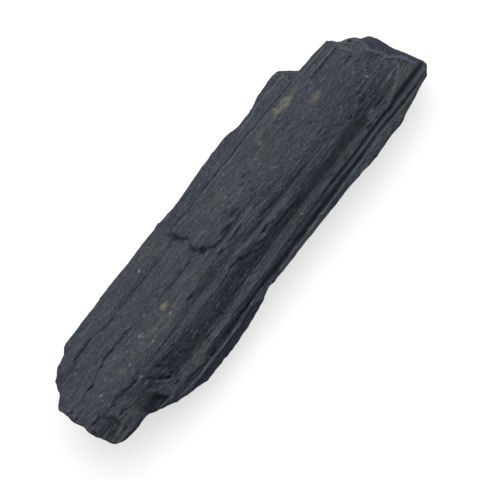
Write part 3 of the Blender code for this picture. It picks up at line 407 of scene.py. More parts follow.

# Crests and worn edges that stand a little proud: the points (x, y), then the width and the height.
# Each crest is also painted paler, partly as wear and partly as painted highlight.
CRESTS = (
    (((-8.1, 8.55), (-7.2, 8.8), (-6.3, 9.05)), 0.4, 0.15),
    (((-6, 9.1), (-5.3, 8.9), (-3.5, 8.85)), 0.35, 0.12),
    (((-1.2, 9.05), (3, 9.15), (10, 9.2), (22, 9.35), (29.2, 9.35)), 0.22, 0.12),
    (((-5.5, 0.65), (-3, 0.65), (-1.2, 0.65)), 0.5, 0.2),
    (((-1.2, 0.7), (2, 0.65), (5.1, 0.95)), 0.4, 0.12),
    (((29.4, 7.65), (31, 7.7), (34, 7.75), (37.2, 7.5)), 0.5, 0.15),
    (((29, 9.1), (31, 9.15), (35.2, 9.1)), 0.35, 0.1),
    (((12.5, 10.7), (16, 11.2), (19.6, 11.65), (27.8, 11.6)), 0.3, 0.12),
    (((36.5, 7.1), (37.2, 6), (37.6, 5), (37.8, 3.9)), 0.6, 0.25),
    (((37.8, 7.2), (38.4, 6.3), (38.9, 5.4)), 0.8, 0.3),
    (((39.5, 5.9), (40.1, 4.5), (40.3, 3.4), (40, 2.5), (40.4, 1.2), (40.8, 0.1), (41.2, -1), (42, -2),
     (42.8, -3), (43.2, -3.9), (43.1, -5)), 0.7, 0.35),
    (((40.4, 1), (41.2, -1.2), (42.1, -2.1)), 0.5, 0.3),
    (((36, -5.9), (37.5, -5.5), (39, -5), (40.5, -4.4), (41.3, -3.9)), 0.6, 0.2),
    (((38, -5), (39.6, -4.4), (41.7, -3.2)), 0.4, 0.15),
    (((30.3, -5.2), (31.4, -4.8), (32.4, -4.75)), 0.6, 0.25),
    (((22.6, -5.4), (22.65, -4.8), (23.2, -4.3)), 0.4, 0.2),
    (((17.8, -8.15), (22, -8.1), (26, -7.95), (32, -7.8), (38, -7.7), (43.2, -7.5)), 0.3, 0.05),
    (((-27.2, -11.2), (-24, -11.15), (-20, -11.05), (-12, -10.95)), 0.35, 0.12),
    (((-11.2, -10.3), (-7.8, -10.3)), 0.35, 0.1),
    (((7.8, -9.95), (12, -9.7), (18, -9.5), (25, -9.2), (28.4, -9.2)), 0.3, 0.1),
    (((34.8, -8.85), (40, -8.75), (41.7, -8.55)), 0.3, 0.1),
    (((-24.2, -10.1), (-22, -10), (-20.5, -9.5), (-19, -9.05), (-17, -8.85), (-12, -8.6)), 0.45, 0.12),
    (((-12.4, -8.6), (-8, -8.45), (-4, -8.3), (0, -8), (2.7, -7.7)), 0.26, 0.08),
    (((4.8, -7.55), (8.2, -7.5)), 0.3, 0.08),
    (((-9.2, -7), (-6, -6.85), (-3, -6.8), (0.2, -6.65)), 0.3, 0.1),
    (((-30.3, -5.5), (-29.4, -6.4), (-28.6, -7.2), (-27.5, -7.7)), 0.5, 0.3),
    (((-28.8, -5.3), (-27.9, -5.7), (-27.1, -6.2)), 0.8, 0.35), (((-31.7, -4.5), (-30.3, -4.75)), 0.4, 0.2),
    (((-42.7, -6.4), (-41.2, -6.1), (-39.9, -5.8)), 0.5, 0.2), (((-35.9, -7), (-35.85, -8.3)), 0.5, 0.2),
    (((-33.8, -9.1), (-32.4, -9.3), (-31.3, -9.4)), 0.5, 0.15), (((-31.3, -9.8), (-30.1, -9.4)), 0.5, 0.3),
    (((29.5, -6), (29.9, -5.3), (30.4, -4.9)), 0.35, 0.15),
    (((30.2, -5.3), (31, -5), (31.9, -4.9), (32.9, -4.8)), 0.55, 0.2),
    (((31.2, -3.8), (31.3, -4.4), (31.2, -4.9)), 0.3, 0.12),
    (((30.6, -5.6), (31.6, -5.3), (32.6, -5.2)), 0.3, 0.1),
    (((22.5, -5.6), (22.5, -5), (22.9, -4.5), (23.7, -4.3)), 0.28, 0.1),
    (((34.5, -6.5), (36.4, -6), (38.4, -5.4), (40.4, -4.6), (42.4, -3.6)), 0.4, 0.15),
    (((36.9, -5.5), (38.6, -4.9), (40.6, -3.9)), 0.3, 0.1),
    (((38.6, -5.4), (40.5, -4.9), (42.2, -4.5)), 0.3, 0.08),
    (((36.2, -4.3), (38, -3.8), (39.4, -3), (40.2, -2.2)), 0.3, 0.06),
    (((38.2, -4.6), (39.6, -4.2), (41, -3.3), (41.8, -2.6)), 0.3, 0.06),
    (((39.4, -2.4), (40.3, -1.2), (40.9, 0.1)), 0.3, 0.1),
    (((41.2, -1.6), (41.5, -2.2), (41.4, -2.8)), 0.3, 0.1),
)

# How far inside its edge a crack or crest is full. It narrows to its tips over so many widths, or over a
# share of its length if that is less. How blunt the tips are, and the share that is left there.
LINE_CORE = 1.2
LINE_TAPER, LINE_TAPER_SHARE = 1.5, 0.4
LINE_BLUNT = 0.15
LINE_LEAST = 0.3

# Pits in the top: (x, y), half length, half width, turn in degrees, and depth. How dark painted shade makes
# them.
PITS = (
    ((-14.6, -0.9), 0.6, 0.3, 0, 0.4), ((-5.65, 6.75), 0.35, 0.2, 0, 0.25), ((2.9, 3.1), 0.3, 0.2, 20, 0.3),
    ((3.05, 2.6), 0.4, 0.2, -10, 0.3), ((1.9, 2.9), 0.8, 0.6, 0, 0.15), ((23.4, 2.2), 0.45, 0.25, 0, 0.35),
    ((28.75, -2.6), 0.4, 0.25, 0, 0.5), ((4.6, -8.3), 0.4, 0.2, -15, 0.4),
    ((-7.85, 7.6), 0.45, 0.5, 0, 0.45), ((-7.75, 4.1), 0.4, 0.6, 0, 0.35),
    ((-6.7, 2.6), 0.6, 0.45, -20, 0.45), ((-1.6, 1.4), 0.9, 0.3, 20, 0.4),
    ((-0.5, 1.6), 0.7, 0.35, -10, 0.35), ((-44.1, -3), 0.25, 0.45, 0, 0.5),
    ((32.2, -2.4), 0.9, 0.3, 0, 0.3), ((27.3, 10.4), 0.4, 0.25, 0, 0.3), ((39, 6.15), 0.4, 0.25, 0, 0.4),
    ((-40.1, -6.9), 0.5, 0.3, 0, 0.3), ((-19.6, -10.4), 1, 0.3, 5, 0.2),
)
PIT_DARKNESS = 0.8

# How far inside its edge a pit or grain is full, and how fast it fades to its edge.
SPOT_CORE, SPOT_FALL = 1.3, 0.8

# Mineral grains and stains: (x, y), half length, half width, turn in degrees, and how strong each is.
# Pale grains, some of them painted glints, such as the one at (2.3, 10.6).
PALE_GRAINS_AND_GLINTS = (
    ((-38.05, 6.4), 0.26, 0.15, -30, 0.68), ((-34.95, 10.35), 0.19, 0.11, 0, 0.45),
    ((-31.6, 10), 0.22, 0.15, 0, 0.3), ((-44, 3.2), 0.26, 0.11, 0, 0.74), ((-44, 1.8), 0.19, 0.11, 0, 0.38),
    ((-38.2, 0.45), 0.38, 0.19, -15, 0.59), ((-38.8, -0.45), 0.15, 0.15, 0, 0.53),
    ((-35.4, 1.7), 0.26, 0.15, -35, 0.38), ((-31.2, 2.7), 0.6, 0.3, 0, 0.26),
    ((-26.65, 3.5), 0.15, 0.15, 0, 0.59), ((-25.2, 1.65), 0.68, 0.17, 0, 0.89),
    ((-30.6, -0.1), 0.38, 0.15, 0, 0.45), ((-31.9, -0.5), 0.19, 0.15, 0, 0.38),
    ((-31.2, -1.3), 0.38, 0.11, -50, 0.53), ((-31.1, -3.15), 0.3, 0.15, 0, 0.89),
    ((-27.5, -1.1), 0.6, 0.15, 0, 0.26), ((-26.5, 0.5), 0.22, 0.15, 0, 0.38),
    ((-25.3, 1), 0.22, 0.15, 0, 0.38), ((-24.8, -0.7), 0.38, 0.19, 0, 0.3),
    ((-38.6, -1.8), 0.38, 0.19, 0, 0.26), ((-37.9, -3.3), 0.22, 0.11, 0, 0.3),
    ((-22.2, 3.45), 0.45, 0.22, 20, 0.38), ((-27.3, 2.7), 0.38, 0.15, 0, 0.26),
    ((-19, 0.1), 0.6, 0.15, 0, 0.53), ((-16.5, 9.1), 0.45, 0.11, 0, 0.59),
    ((-0.25, 6.3), 0.26, 0.11, -10, 0.82), ((-4.2, 4.8), 0.75, 0.19, -20, 0.26),
    ((-3.5, 5.6), 0.3, 0.15, -30, 0.3), ((-6.45, 2), 0.19, 0.11, 0, 0.74),
    ((3.25, 5.55), 0.22, 0.11, 0, 0.59), ((1.9, 5), 0.19, 0.15, 0, 0.38), ((6.3, 8.6), 0.15, 0.14, 0, 0.68),
    ((9.1, 6.1), 0.26, 0.11, -15, 0.38), ((2.3, 10.6), 0.22, 0.19, 0, 0.34),
    ((9.85, -6.85), 0.11, 0.19, -20, 0.74), ((-7.75, -9.45), 0.22, 0.11, 0, 0.97),
    ((-7.4, -1.6), 0.19, 0.11, 0, 0.45), ((2.6, -1.1), 0.45, 0.15, 0, 0.26),
    ((4.8, 0.95), 0.3, 0.15, 0, 0.38), ((14.6, 7.1), 0.45, 0.19, 0, 0.38),
    ((15.1, 11.4), 0.19, 0.11, 0, 0.53), ((14.5, 10), 0.15, 0.11, 0, 0.53),
    ((21, 8.85), 0.3, 0.14, 0, 0.97), ((25.1, 3.8), 0.19, 0.11, 0, 0.68),
    ((21.5, 4.7), 0.11, 0.11, 0, 0.38), ((13.1, 2.2), 0.6, 0.19, -30, 0.38),
    ((18.9, -0.66), 0.19, 0.11, -30, 0.59), ((26.7, 1.75), 0.15, 0.11, 0, 0.53),
    ((30.3, 1.45), 0.19, 0.11, 0, 0.38), ((35, 2.15), 0.26, 0.14, -45, 0.59),
    ((36.75, 0.8), 0.22, 0.11, -70, 0.74), ((36.15, -0.25), 0.38, 0.17, -40, 0.68),
    ((41.5, -2.65), 0.15, 0.15, 0, 0.74), ((41.3, -2.05), 0.11, 0.11, 0, 0.53),
    ((38.1, -1.1), 0.11, 0.11, 0, 0.45), ((31.6, -4.95), 1.1, 0.3, 5, 0.61),
    ((30.5, 3.9), 0.15, 0.15, 0, 0.38), ((16.5, -5.5), 0.15, 0.15, 40, 0.45),
    ((18, -5.2), 0.11, 0.11, 0, 0.45), ((-20.7, -10.6), 0.38, 0.15, -60, 0.68),
    ((-22.2, -8.4), 0.38, 0.22, 20, 0.3), ((15.8, 8), 1.35, 0.38, 10, 0.16),
    ((11.6, 6.2), 1.2, 0.22, -40, 0.15), ((12.4, 5.2), 0.68, 0.15, -60, 0.19),
    ((8.4, -9.4), 0.11, 0.26, 30, 0.38),
)
OCHRE_GRAINS = (
    ((-18.5, 1.75), 1.1, 0.42, 0, 0.6), ((-22.6, 0.4), 0.5, 0.35, -20, 0.42),
    ((-17.4, 0.6), 0.6, 0.2, 0, 0.3), ((-32.4, 0), 0.9, 0.3, -12, 0.2), ((-32.5, 0.5), 0.6, 0.25, 0, 0.21),
    ((-13.1, 9.7), 0.9, 0.2, 0, 0.18), ((22.7, 8.2), 2.3, 0.75, 0, 0.5), ((23.2, 8.6), 1.4, 0.3, 0, 0.4),
    ((27.4, 4.6), 1.5, 0.7, 0, 0.38), ((20.4, 8), 1, 0.3, 0, 0.24), ((-8, 9.8), 0.8, 0.3, 0, 0.12),
    ((-15.9, -10.4), 0.6, 0.25, 60, 0.18), ((-39.5, -6.6), 2.6, 1.1, 0, 0.06),
    ((-25.5, 0.2), 4, 0.9, 0, 0.06), ((-20.5, -0.4), 3, 0.6, 0, 0.08), ((-20.4, 0.15), 0.7, 0.18, 0, 0.4),
    ((-23.1, 0.35), 0.4, 0.2, 0, 0.45), ((-17.3, 0.3), 0.3, 0.2, 30, 0.35),
    ((-24.6, -0.9), 0.5, 0.15, 0, 0.3), ((-29.3, 0.4), 0.4, 0.15, 0, 0.3),
    ((-33.5, -0.4), 0.5, 0.2, 0, 0.25), ((26.2, 8.5), 1.8, 0.5, 0, 0.08), ((-28.6, 0.9), 0.5, 0.2, 0, 0.24),
    ((-23.8, 0.9), 0.4, 0.2, 30, 0.3),
)

# Bands of painted light and painted shade on the top: how much lighter (above 0) or darker (below 0), how
# soft their edges are, and points along them as (x, y of the +Y edge, y of the -Y edge). How far they fade at
# their ends.
BANDS = (
    (-0.2, 0.4, ((-10, -4.3, -5), (-2, -4.1, -4.9), (6, -4.1, -4.9), (15, -4, -4.8), (22, -4, -4.7),
     (26, -3.7, -4.4), (30, -3.6, -4.2))),
    (0.4, 0.4, ((0, -5, -6.1), (8, -5, -6), (16, -5.2, -6.3), (24, -4.8, -6.1), (30, -4.5, -5.8))),
    (-0.5, 0.5, ((19, -1.4, -2), (24, -1.4, -3.4), (30, -1.5, -3.6), (34, -2, -3))),
    (-0.6, 0.4, ((-29, -10.9, -12.4), (-22, -11.3, -12.9), (-14, -11.3, -12.7), (-8, -11.2, -11.9))),
    (-0.15, 0.3, ((-9, -9, -9.8), (0, -8.7, -9.8), (5, -8.5, -9.75), (10, -8.4, -9.6), (16, -7.9, -9.3),
     (24, -7.9, -8.9), (27, -8.4, -8.7))),
    (-0.65, 0.25, ((14, -7.5, -7.9), (17, -7.2, -8), (24, -7, -7.7), (30, -6.9, -7.5), (34, -6.7, -7.4),
     (37, -6.1, -7.2), (40, -6.05, -7.15), (43, -6.1, -7.1), (45, -6.4, -7))),
    (1.2, 0.9, ((-44, -2.4, -5.6), (-38, -2.3, -5.9), (-34, -2.9, -5.2), (-31, -2.7, -4.1),
     (-25, -2.9, -3.9))),
    (1, 0.5, ((-27, -7.9, -9.4), (-22, -7.2, -9.4), (-18, -6.8, -8.8), (-10, -6.8, -8.2), (-2, -6.7, -8))),
    (0.9, 0.5, ((-2, -5.9, -6.6), (8, -5.8, -6.9), (16, -5.6, -7), (24, -5.3, -6.8), (31, -4.8, -6.5))),
    (0.8, 0.6, ((-19, -3.6, -5), (-15, -3.4, -5.6), (-12, -3.4, -5.5), (-9.5, -3.7, -4.4))),
    (0.5, 0.6, ((-34, -3.6, -6.2), (-28, -3.6, -6), (-24, -3.9, -4.8))),
    (0.5, 0.4, ((-20, -9.8, -10.6), (-14, -9.7, -10.4), (-9, -9.6, -10))),
    (0.9, 0.3, ((28, -8.2, -8.7), (34, -8.05, -8.7), (40, -7.9, -8.5))),
    (1.5, 0.6, ((29.5, -4.3, -6.4), (34, -4.4, -6.5), (37, -3, -6), (40, -2.3, -5.9), (44.5, -2.8, -5.8))),
    (-0.5, 0.3, ((36, -6, -6.5), (38, -5.95, -6.5), (44, -5.9, -6.4), (45, -6.1, -6.6))),
    (-0.3, 0.2, ((15, -8, -8.5), (20, -7.95, -8.5), (24, -7.9, -8.4))),
    (1.2, 0.3, ((25, -7.8, -8.2), (30, -7.6, -8.1), (36, -7.25, -7.8), (45, -7.15, -7.8))),
    (1.4, 0.4, ((26, -9.3, -10.3), (34, -8.8, -10), (38, -8.6, -9.5), (45, -8.3, -8.8))),
    (0.7, 0.3, ((-9, -10.1, -10.8), (0, -9.9, -10.6), (8, -9.8, -10.4), (14, -9.6, -10.2))),
    (-0.7, 0.4, ((-43.6, -3.6, -6.1), (-42, -3.6, -6.3), (-40.9, -4, -5.8), (-39.8, -4.6, -5.2))),
    (-0.6, 0.6, ((-16, -0.8, -1.5), (-12, -0.7, -2.2), (-6, -0.9, -2.3), (-2, -1, -2.2))),
    (0.5, 0.8, ((-44, 4.9, 0.2), (-36, 4.9, 0.2), (-32, 3.6, 0), (-20, 2.8, -1.4), (-10, 2.8, 0.2))),
    (0.5, 0.5, ((-20, -2.6, -3.7), (-10, -2.5, -3.4), (-4, -2.4, -2.9), (6, -2.5, -3.2), (14, -2.5, -3))),
)
BAND_ENDS = 1.5

# Noise that makes the forms above ragged as seen from above, with its length and width.
LINE_NOISE_SIZE = (1.5, 1.5)
LINE_WARP_X = (0, (0.24, 1, 80), (0.15, 3.1, 83))
PLATE_WARP_Y = (0, (0.14, 1, 81), (0.10, 3.1, 82))
PLATE_JAGS = (0.05, (0.10, 7, 85))
LINE_WARP_Y = (FEATURE_SHIFT, (0.05, 1, 81), (0.05, 3.1, 82))
LINE_RAGS = (0.75, (0.45, 4.5, 84))
GRAIN_NOISE_SIZE = (0.7, 0.45)
GRAIN_WARP_X = (0, (0.18, 1, 90))
GRAIN_WARP_Y = (FEATURE_SHIFT, (0.10, 1, 91))
GRAIN_RAGS = (0.75, (0.5, 1.6, 92), (0.4, 3.2, 93))
BAND_NOISE_SIZE = (3, 1)
BAND_WARP_Y = (0, (0.12, 1, 105), (0.10, 3.3, 106))
BAND_RAGS = (0.85, (0.45, 2, 107))

# Ridge lines painted paler, partly as wear and partly as painted highlight, as (name, from x, to x,
# strength), how wide, how full in the middle, and how far they run past their ends and fade there.
WEAR_AND_HIGHLIGHT_EDGES = (("rim", -24, 45, 0.9), ("partition", 25, 45, 0.6), ("lip", -24, 10, 0.3),
              ("lower_flank", -12, 30, 0.2), ("rib", -4, 20, 0.2))
WORN_WIDTH, WORN_CORE = 0.22, 1.4
WORN_OVERRUN, WORN_FADE = 1, 3
WORN_STRETCH = 1.4
WORN_RAGS = (0.65, (0.6, 1, 101), (0.4, 2.7, 102))

# The right end's top edge is painted paler too, as wear and painted highlight, between two values of y: how
# far along the crown and how far down the break, how full each is, and how strong it is on the break. How
# dark painted shade makes the break, as a band's strength.
END_WORN_Y = (-5.6, 7.2)
END_WORN_X, END_WORN_X_CORE = 0.2, 1.3
END_WORN_Z, END_WORN_Z_CORE = 0.12, 1.2
END_WEAR_AND_HIGHLIGHT = 0.8
END_SHADE = -0.5

# Painted shade, darker and bluer: how much of it the four regions have right of one x, and the side below the
# rim left of another.
SIDE_SHADE_SHARES = (0, 1, 0.1, 0.3)
SIDE_SHADE_X = -30
RIM_SHADE, RIM_SHADE_X = 0.9, -8
SIDE_SHADE_FADE = 4

# The masks are kept between these limits, below and above zero.
MASK_LIMIT = 1.5

# The colour sockets of a mix node.
MIX_FIRST, MIX_SECOND, MIX_RESULT = 6, 7, 2

# The stone's textures, as (scale, detail, roughness, how much longer than wide).
TEXTURES = {
    "patches": (260, 4, 0.6, 3), "tint": (900, 4, 0.7, 2), "streaks": (1500, 3, 0.6, 9),
    "grain": (3400, 3, 0.7, 1.5), "fibres": (3200, 2, 0.5, 8), "flecks_and_glints": (3000, 1, 0.3, 1.6),
}
MASKS = ("painted_side_shade", "shade", "wear_and_highlight", "crack_and_pit_shade", "ochre", "pale")

# The stone's colours. Each is laid over those before it by a texture or mask: its values where the colour
# starts and where it is strongest, and how strong it is there.
DEEP_BLUE = (0.010, 0.015, 0.032)
COLOURS = (
    ("patches", 0.42, 0.60, 1.0, (0.021, 0.028, 0.034)),
    ("tint", 0.50, 0.64, 0.8, (0.019, 0.018, 0.042)),
    ("tint", 0.47, 0.34, 0.8, (0.013, 0.029, 0.032)),
    # Painted shade, darker and bluer, on the flank and below the rim.
    ("painted_side_shade", 0, 1, 0.8, (0.010, 0.018, 0.042)),
    # Painted light where the bands are lighter.
    ("shade", 0, 1.5, 1.0, (0.052, 0.060, 0.065)),
    ("streaks", 0.48, 0.75, 0.6, (0.040, 0.048, 0.060)),
    ("grain", 0.51, 0.68, 0.9, (0.062, 0.071, 0.084)),
    ("grain", 0.49, 0.32, 1.0, (0.001, 0.004, 0.017)),
    ("fibres", 0.57, 0.68, 0.5, (0.080, 0.090, 0.105)),
    ("fibres", 0.42, 0.30, 0.6, (0.001, 0.003, 0.010)),
    # Painted shade where the bands are darker, and on the right end's break.
    ("shade", 0, -1.2, 0.92, (0.001, 0.004, 0.026)),
    # Pale flecks, partly mineral and partly painted glints.
    ("flecks_and_glints", 0.74, 0.80, 0.7, (0.17, 0.18, 0.18)),
    # Wear and painted highlight on crests, ridge lines and the right end's top edge.
    ("wear_and_highlight", 0, 1, 0.8, (0.082, 0.095, 0.112)),
    # Painted shade in the cracks and pits.
    ("crack_and_pit_shade", 0, 0.8, 0.95, (0.001, 0.003, 0.012)),
    ("ochre", 0, 0.7, 0.85, (0.165, 0.150, 0.105)),
    # Pale grains, some of them painted glints.
    ("pale", 0, 1.5, 1.0, (0.34, 0.345, 0.33)),
)

# The stone's roughness, as (grain from, to, roughness from, to), its index of refraction, and the textures,
# strength and depth in metres of its finest grain.
STONE_ROUGHNESS = (0.3, 0.7, 0.50, 0.66)
STONE_IOR = 1.45
BUMP_TEXTURES = ((2600, 4, 0.7, 3), (3600, 4, 0.7, 1))
BUMP_STRENGTH, BUMP_DEPTH = 0.8, 0.00011

# The floor: its size in metres, its two greys and the texture between them, and how it shines by itself.
FLOOR_SIZE = 6
FLOOR_GREYS = (0.49, 0.51)
FLOOR_TEXTURE = (40, 2, 0.5, 1)
FLOOR_ROUGHNESS = 0.9
FLOOR_GLOW = 0.60

# The camera looks straight down, turned so that +X points to the upper right of its view. It shows a width
# at a height above the floor, and what it sees starts and ends at two distances in metres.
CAMERA_PLACE = (-0.82, -1.34, 1000.0)
CAMERA_TURN = -50.656
FOCUS_HEIGHT = 14.0
VIEW_WIDTH = 86.1
SENSOR = 36.0
CAMERA_RANGE = (0.01, 20)

# The white room: its colour, the direction in which it is brighter, and its strength away from that and
# towards it. The soft light: where it is and its size, both in metres, and its power in watts.
ROOM_COLOUR = (0.97, 0.985, 1.0, 1)
ROOM_BRIGHT_SIDE = (0.55, 0.80, 0.25)
ROOM_STRENGTH = (0.14, 0.74)
LIGHT_PLACE = (0.20, 0.26, 0.64)
LIGHT_SIZE, LIGHT_POWER = 0.60, 4.2


def smoothstep(t):
    t = np.clip(t, 0, 1)
    return t * t * (3 - 2 * t)


def random_at(cell, seed):
    """A repeatable number from 0 to 1 for each whole-numbered cell."""
    a, b, c = (cell[..., k] * prime for k, prime in enumerate(CELL_PRIMES))
    mixed = a ^ b ^ c ^ seed * SEED_PRIME
    mixed = (mixed ^ (mixed >> 13)) * MIX_PRIME & 0xFFFFFFFF
    return ((mixed ^ (mixed >> 16)) & 0xFFFF) / 0xFFFF


def noise(points, seed):
    """Smooth noise from -1 to 1, one unit between its lattice points."""
    cell = np.floor(points).astype(np.int64)
    part = smoothstep(points - cell)
    total = 0
    for corner in itertools.product((0, 1), repeat=3):
        weight = np.prod(np.where(corner, part, 1 - part), axis=-1)
        total = total + weight * random_at(cell + corner, seed)
    return 2 * total - 1


def layered(place, base, *layers):
    """A base value plus layers of noise, each as (height, scale, seed)."""
    return base + sum(height * noise(scale * place, seed) for height, scale, seed in layers)


def patches(place, size, seed, spread):
    """1 inside soft patches of the skin to 0 between them."""
    return smoothstep(noise(place / size, seed) + spread)


def from_above(x, y, size):
    """The places (x, y) for noise of one length and width that doesn't change with height."""
    return np.stack([x / size[0], y / size[1], 0 * x], axis=-1)


def chips(points, seed):
    """Two values: 0 at a chip's middle to 1 at the crest round it, and the chip's own number from 0 to 1."""
    cell = np.floor(points).astype(np.int64)
    nearest = np.full(points.shape[:-1], np.inf)
    number = np.zeros(points.shape[:-1])
    for step in itertools.product((-1, 0, 1), repeat=3):
        here = cell + step
        centre = here + np.stack([random_at(here, seed + k) for k in range(3)], axis=-1)
        distance = ((points - centre) ** 2).sum(-1)
        number = np.where(distance < nearest, random_at(here, seed + 3), number)
        nearest = np.minimum(nearest, distance)
    return np.minimum(nearest, 1), number


def inside(x, y, outline):
    """Distance in millimetres from (x, y) to a closed outline, positive inside it."""
    distance = np.full(x.shape, np.inf)
    crossed = np.zeros(x.shape, bool)
    for (x0, y0), (x1, y1) in zip(outline, outline[1:] + outline[:1]):
        dx, dy = x1 - x0, y1 - y0
        along = np.clip(((x - x0) * dx + (y - y0) * dy) / (dx * dx + dy * dy), 0, 1)
        distance = np.minimum(distance, np.hypot(x - x0 - along * dx, y - y0 - along * dy))
        if dy:
            crossed ^= ((y0 > y) != (y1 > y)) & (x < x0 + (y - y0) * dx / dy)
    return np.where(crossed, distance, -distance)


def line_profile(x, y, points, width):
    """1 along a line to 0 at its edges, narrowing towards both its ends. Only near places are worked out."""
    xs, ys = zip(*points)
    near = (x > min(xs) - width) & (x < max(xs) + width) & (y > min(ys) - width) & (y < max(ys) + width)
    px, py = x[near], y[near]
    distance = np.full(px.shape, np.inf)
    place = np.zeros(px.shape)
    start = 0
    for (x0, y0), (x1, y1) in zip(points, points[1:]):
        length = math.hypot(x1 - x0, y1 - y0)
        along = np.clip(((px - x0) * (x1 - x0) + (py - y0) * (y1 - y0)) / length ** 2, 0, 1)
        here = np.hypot(px - x0 - along * (x1 - x0), py - y0 - along * (y1 - y0))
        place = np.where(here < distance, start + along * length, place)
        distance = np.minimum(distance, here)
        start += length
    to_tip = np.minimum(place, start - place) / min(LINE_TAPER * width, LINE_TAPER_SHARE * start)
    share = LINE_LEAST + (1 - LINE_LEAST) * smoothstep(to_tip + LINE_BLUNT)
    profile = np.zeros(x.shape)
    profile[near] = smoothstep(LINE_CORE - 2 * distance / (width * share)) * share
    return profile


def spot_profile(x, y, centre, half_length, half_width, turn):
    """1 over a turned oval to 0 a little outside it."""
    c, s = math.cos(math.radians(turn)), math.sin(math.radians(turn))
    dx, dy = x - centre[0], y - centre[1]
    reach = ((dx * c + dy * s) / half_length) ** 2 + ((dy * c - dx * s) / half_width) ** 2
    return smoothstep(SPOT_CORE - SPOT_FALL * reach)


def ridge_at(points, x):
    xs, ys, zs = zip(*points)
    return np.interp(x, xs, ys), np.interp(x, xs, zs)


def ridge_pairs():
    """Each ridge line's name, its points and the next line's points, round the section."""
    lines = list(RIDGES.values())
    return zip(RIDGES, lines, lines[1:] + lines[:1])


def facet_counts():
    """How many facets each ridge line has up to the next one, from the widest gap between the two."""
    counts, step = [], TOP_STEP
    for name, points, next_points in ridge_pairs():
        if name == REGION_STARTS[-1]:
            step = UNDER_STEP
        gaps = []
        for x in GAP_PLACES:
            (y0, z0), (y1, z1) = ridge_at(points, x), ridge_at(next_points, x)
            gaps.append(math.hypot(y1 - y0, z1 - z0))
        counts.append(max(1, round(max(gaps) / step)))
    return counts


FACETS = facet_counts()


def section(x):
    """The skin's y and z before its relief, for x with a row for each ring and a column for each facet."""
    y, z = np.empty_like(x), np.empty_like(x)
    column = 0
    for facets, (_, points, next_points) in zip(FACETS, ridge_pairs()):
        for share in np.arange(facets) / facets:
            (y0, z0), (y1, z1) = ridge_at(points, x[:, column]), ridge_at(next_points, x[:, column])
            y[:, column] = y0 + share * (y1 - y0)
            z[:, column] = z0 + share * (z1 - z0)
            column += 1
    return y, z


def splinters(y, z, below, seed):
    """How far a hackly break is eaten back: each splinter ends at its own place and is scalloped."""
    place = np.stack([np.full_like(y, seed), y, z], axis=-1)
    crest, number = chips(place / SPLINTER_SIZE, seed)
    fine_crest, fine_number = chips(place / FINE_SPLINTER_SIZE, seed + FINE_SEED_STEP)
    rough = smoothstep((below - SPLINTER_START) / SPLINTER_DROP)
    coarse = (SPLINTER_STEP * number + SPLINTER_SCALLOP * crest) * rough
    fine = FINE_SPLINTER_DEPTH * (fine_number + fine_crest)
    return coarse + fine * (FINE_SPLINTER_LEAST + (1 - FINE_SPLINTER_LEAST) * rough)


def left_break(y, z):
    below = np.maximum(np.interp(y, *zip(*LEFT_TOP)) - z, 0)
    edge = np.interp(y, *zip(*LEFT_BREAK))
    return edge + END_UNDERCUT * below / HEIGHT + splinters(y, z, below, LEFT_SEED)


def right_break(y, z):
    below = np.maximum(np.interp(y, *zip(*RIGHT_TOP)) - z, 0)
    edge = np.interp(y, *zip(*RIGHT_EDGE))
    bulge = np.interp(y, *zip(*RIGHT_BULGE))
    out = 1 - (1 - np.minimum(below / BULGE_DROP, 1)) ** BULGE_POWER
    under = smoothstep((below - BULGE_DROP) / (HEIGHT - BULGE_DROP))
    eaten = splinters(y, z, below, RIGHT_SEED)
    roughness = BULGE_ROUGHNESS + (1 - BULGE_ROUGHNESS) * under
    return edge + (bulge - edge) * out - END_UNDERCUT * under - eaten * roughness


def by_region(values):
    """For each column of points, the value for its region: crown, flank, ledges or underneath."""
    region = np.cumsum([name in REGION_STARTS for name in RIDGES])
    return np.repeat(np.array(values, float)[region], FACETS)


def faces_up():
    """1 for each column of points on the top, from the brow to the brink, and 0 for the others."""
    return by_region((1, 1, 1, 0))


def column_relief(x):
    """Rounded columns with grooves between them, which keep to their own lines along the crystal."""
    y, z = section(np.zeros((1, x.shape[1])))
    place = np.stack(np.broadcast_arrays(x / COLUMN_STRETCH, y, z), axis=-1)
    out = sum(height * (2 * abs(noise(place / (1, width, width), COLUMN_SEED + k)) - COLUMN_MEAN)
              for k, (width, height) in enumerate(COLUMNS))
    return out * by_region(COLUMN_SHARES)


def chip_relief(x, y, z):
    """Scallops where flakes came off."""
    place = np.stack([x / CHIP_STRETCH, y, z], axis=-1)
    crest, _ = chips(place / CHIP_SIZE, CHIP_SEED)
    return -CHIP_DEPTH * patches(place, *CHIPPED) * (1 - crest) * by_region(CHIP_SHARES)


def streaked(x, y):
    """1 in the middle of the strongly striated band of the crown, to 0 outside it."""
    along = np.minimum(x - STREAKED_X[0], STREAKED_X[1] - x) / STREAKED_FADE_X
    across = np.minimum(y - STREAKED_Y[0], STREAKED_Y[1] - y) / STREAKED_FADE_Y
    return smoothstep(along) * smoothstep(across) * faces_up()


